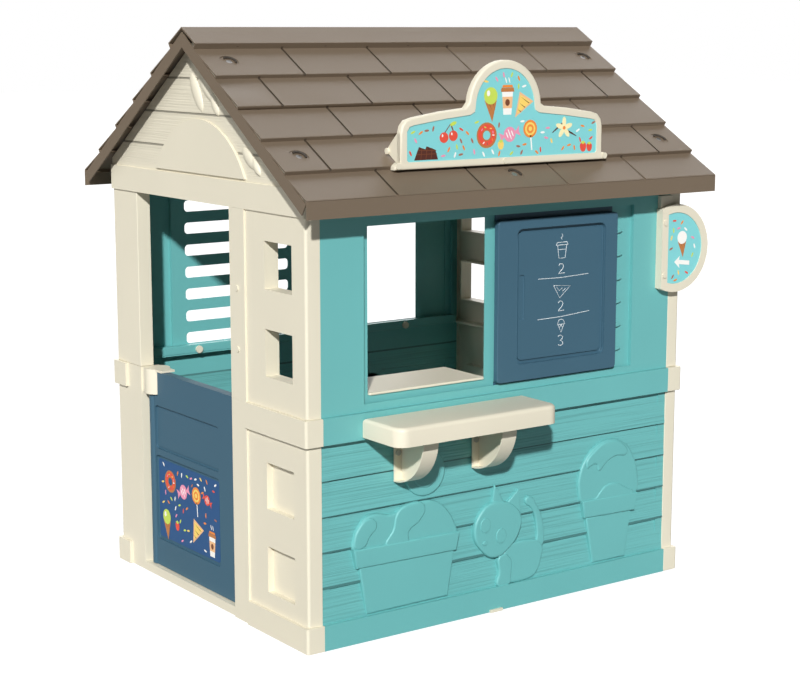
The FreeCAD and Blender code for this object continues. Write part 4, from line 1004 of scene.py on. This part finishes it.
berry(224, 1011, 8, CORAL, LIME)
doughnut(-62, 1046, 27, CORAL)
sweet(0, 1046, 16, PINK, 14)
lollipop(56, 1056, 19, ORANGE, YELLOW)
berry(-24, 1024, 8, YELLOW, LIME)
pictures = ((-52, 1118, 34), (-50, 1085, 22), (-7, 1113, 34), (-7, 1140, 30), (-7, 1090, 30),
            (34, 1110, 32), (-174, 1046, 22), (-150, 1050, 22), (-152, 1070, 14),
            (-218, 1012, 40), (151, 1054, 34), (206, 1012, 18), (224, 1012, 17),
            (-62, 1046, 36), (0, 1046, 34), (56, 1050, 30), (62, 1016, 16), (-24, 1024, 15))
scatter(16, 4, (-260, 1006, -100, 1064), pictures)
scatter(14, 9, (84, 1006, 236, 1064), pictures)
scatter(12, 5, (-95, 1005, 80, 1078), pictures)
scatter(7, 12, (-68, 1120, 48, 1172), pictures)
SIGN_GROUND, DOOR_GROUND = paint(132, 212, 215), paint(40, 84, 132)
film = plate("film", inner, 1, 0, False)
print_face("roof_sign_picture", "shell", "sign_print", film, SIGN_GROUND,
           house(0, -421.6, 0), 0, "roof_sign_print")

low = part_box("corner_sign_print")[0]
disc = [(480 + 82 * math.cos(math.radians(step)), 771 + 82 * math.sin(math.radians(step)))
        for step in range(-108, 109, 9)]
draw(((477, 739), (494, 752), (492, 743), (525, 739), (525, 729), (492, 733), (494, 724)),
     WHITE, 1)
cone(500, 786, 15, WHITE)
for number, (x, z) in enumerate(((475, 834), (499, 829), (473, 812), (511, 813), (489, 816),
                                 (473, 705), (491, 714), (517, 712), (482, 697), (534, 752),
                                 (540, 772), (534, 792), (466, 770), (467, 795))):
    draw(oval(x, z, 6.2, 2.3, 10, 47 * number), SPRINKLES[number % 7], 1)
film = plate("film", disc, 0.8, 0, False)
print_face("corner_sign_picture", "shell", "sign_print", film, SIGN_GROUND,
           Vector((HOUSE.x, low.y + 0.0004, 0)), 0, "corner_sign_print")

low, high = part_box("door_sticker")
left, right = -(high.y - HOUSE.y) / MM, -(low.y - HOUSE.y) / MM
foot, head = low.z / MM, high.z / MM
cone(-216, 136, 18, LIME)
cup(-4, 124, 14)
pancake((-88, 170), (-42, 152), (-92, 112))
berry(-166, 134, 9, CORAL, LIME)
doughnut(-196, 234, 26, CORAL)
sweet(-134, 222, 17, PINK, 20)
lollipop(-74, 226, 20, ORANGE, YELLOW)
sweet(-24, 226, 12, CORAL, -20)
pictures = ((-216, 146, 34), (-206, 104, 28), (-4, 124, 36), (-4, 160, 30), (-4, 98, 30),
            (-72, 146, 42), (-166, 134, 20), (-196, 234, 36), (-134, 222, 34), (-74, 222, 30),
            (-70, 190, 20), (-24, 226, 24))
scatter(34, 21, (left + 12, foot + 10, right - 12, head - 10), pictures)
film = plate("film", rounded(left, foot, right, head, 6), 0.6, 0, False)
print_face("door_picture", "door", "door_print", film, DOOR_GROUND,
           Vector((low.x + 0.0003, HOUSE.y, 0)), -90, "door_sticker")

# ---- Screws, pins, plugs and clips ------------------------------------------------------
# The roof's and brackets' screws and the hinge pins are plain steel. The other screws, the
# plugs and the clips are cream like the parts they hold.

place, steel_shader, steel_finish = start_finish("zinc_steel")
steel_shader.inputs["Base Color"].default_value = (0.52, 0.51, 0.5, 1)
steel_shader.inputs["Metallic"].default_value = 1.0
brushing = noise(place, 500, 2)
steel_finish.node_tree.links.new((brushing * 0.2 + 0.28).socket, steel_shader.inputs["Roughness"])
for finish, fasteners in (
        (steel_finish, ("roof_screws", "bracket_screws", "door_hinge_pins")),
        (cream_finish, ("side_panel_screws", "roof_sign_screws", "corner_sign_screws",
                        "wall_plugs", "ground_clips"))):
    for node in fasteners:
        nodes[node].data.materials.clear()
        nodes[node].data.materials.append(finish)
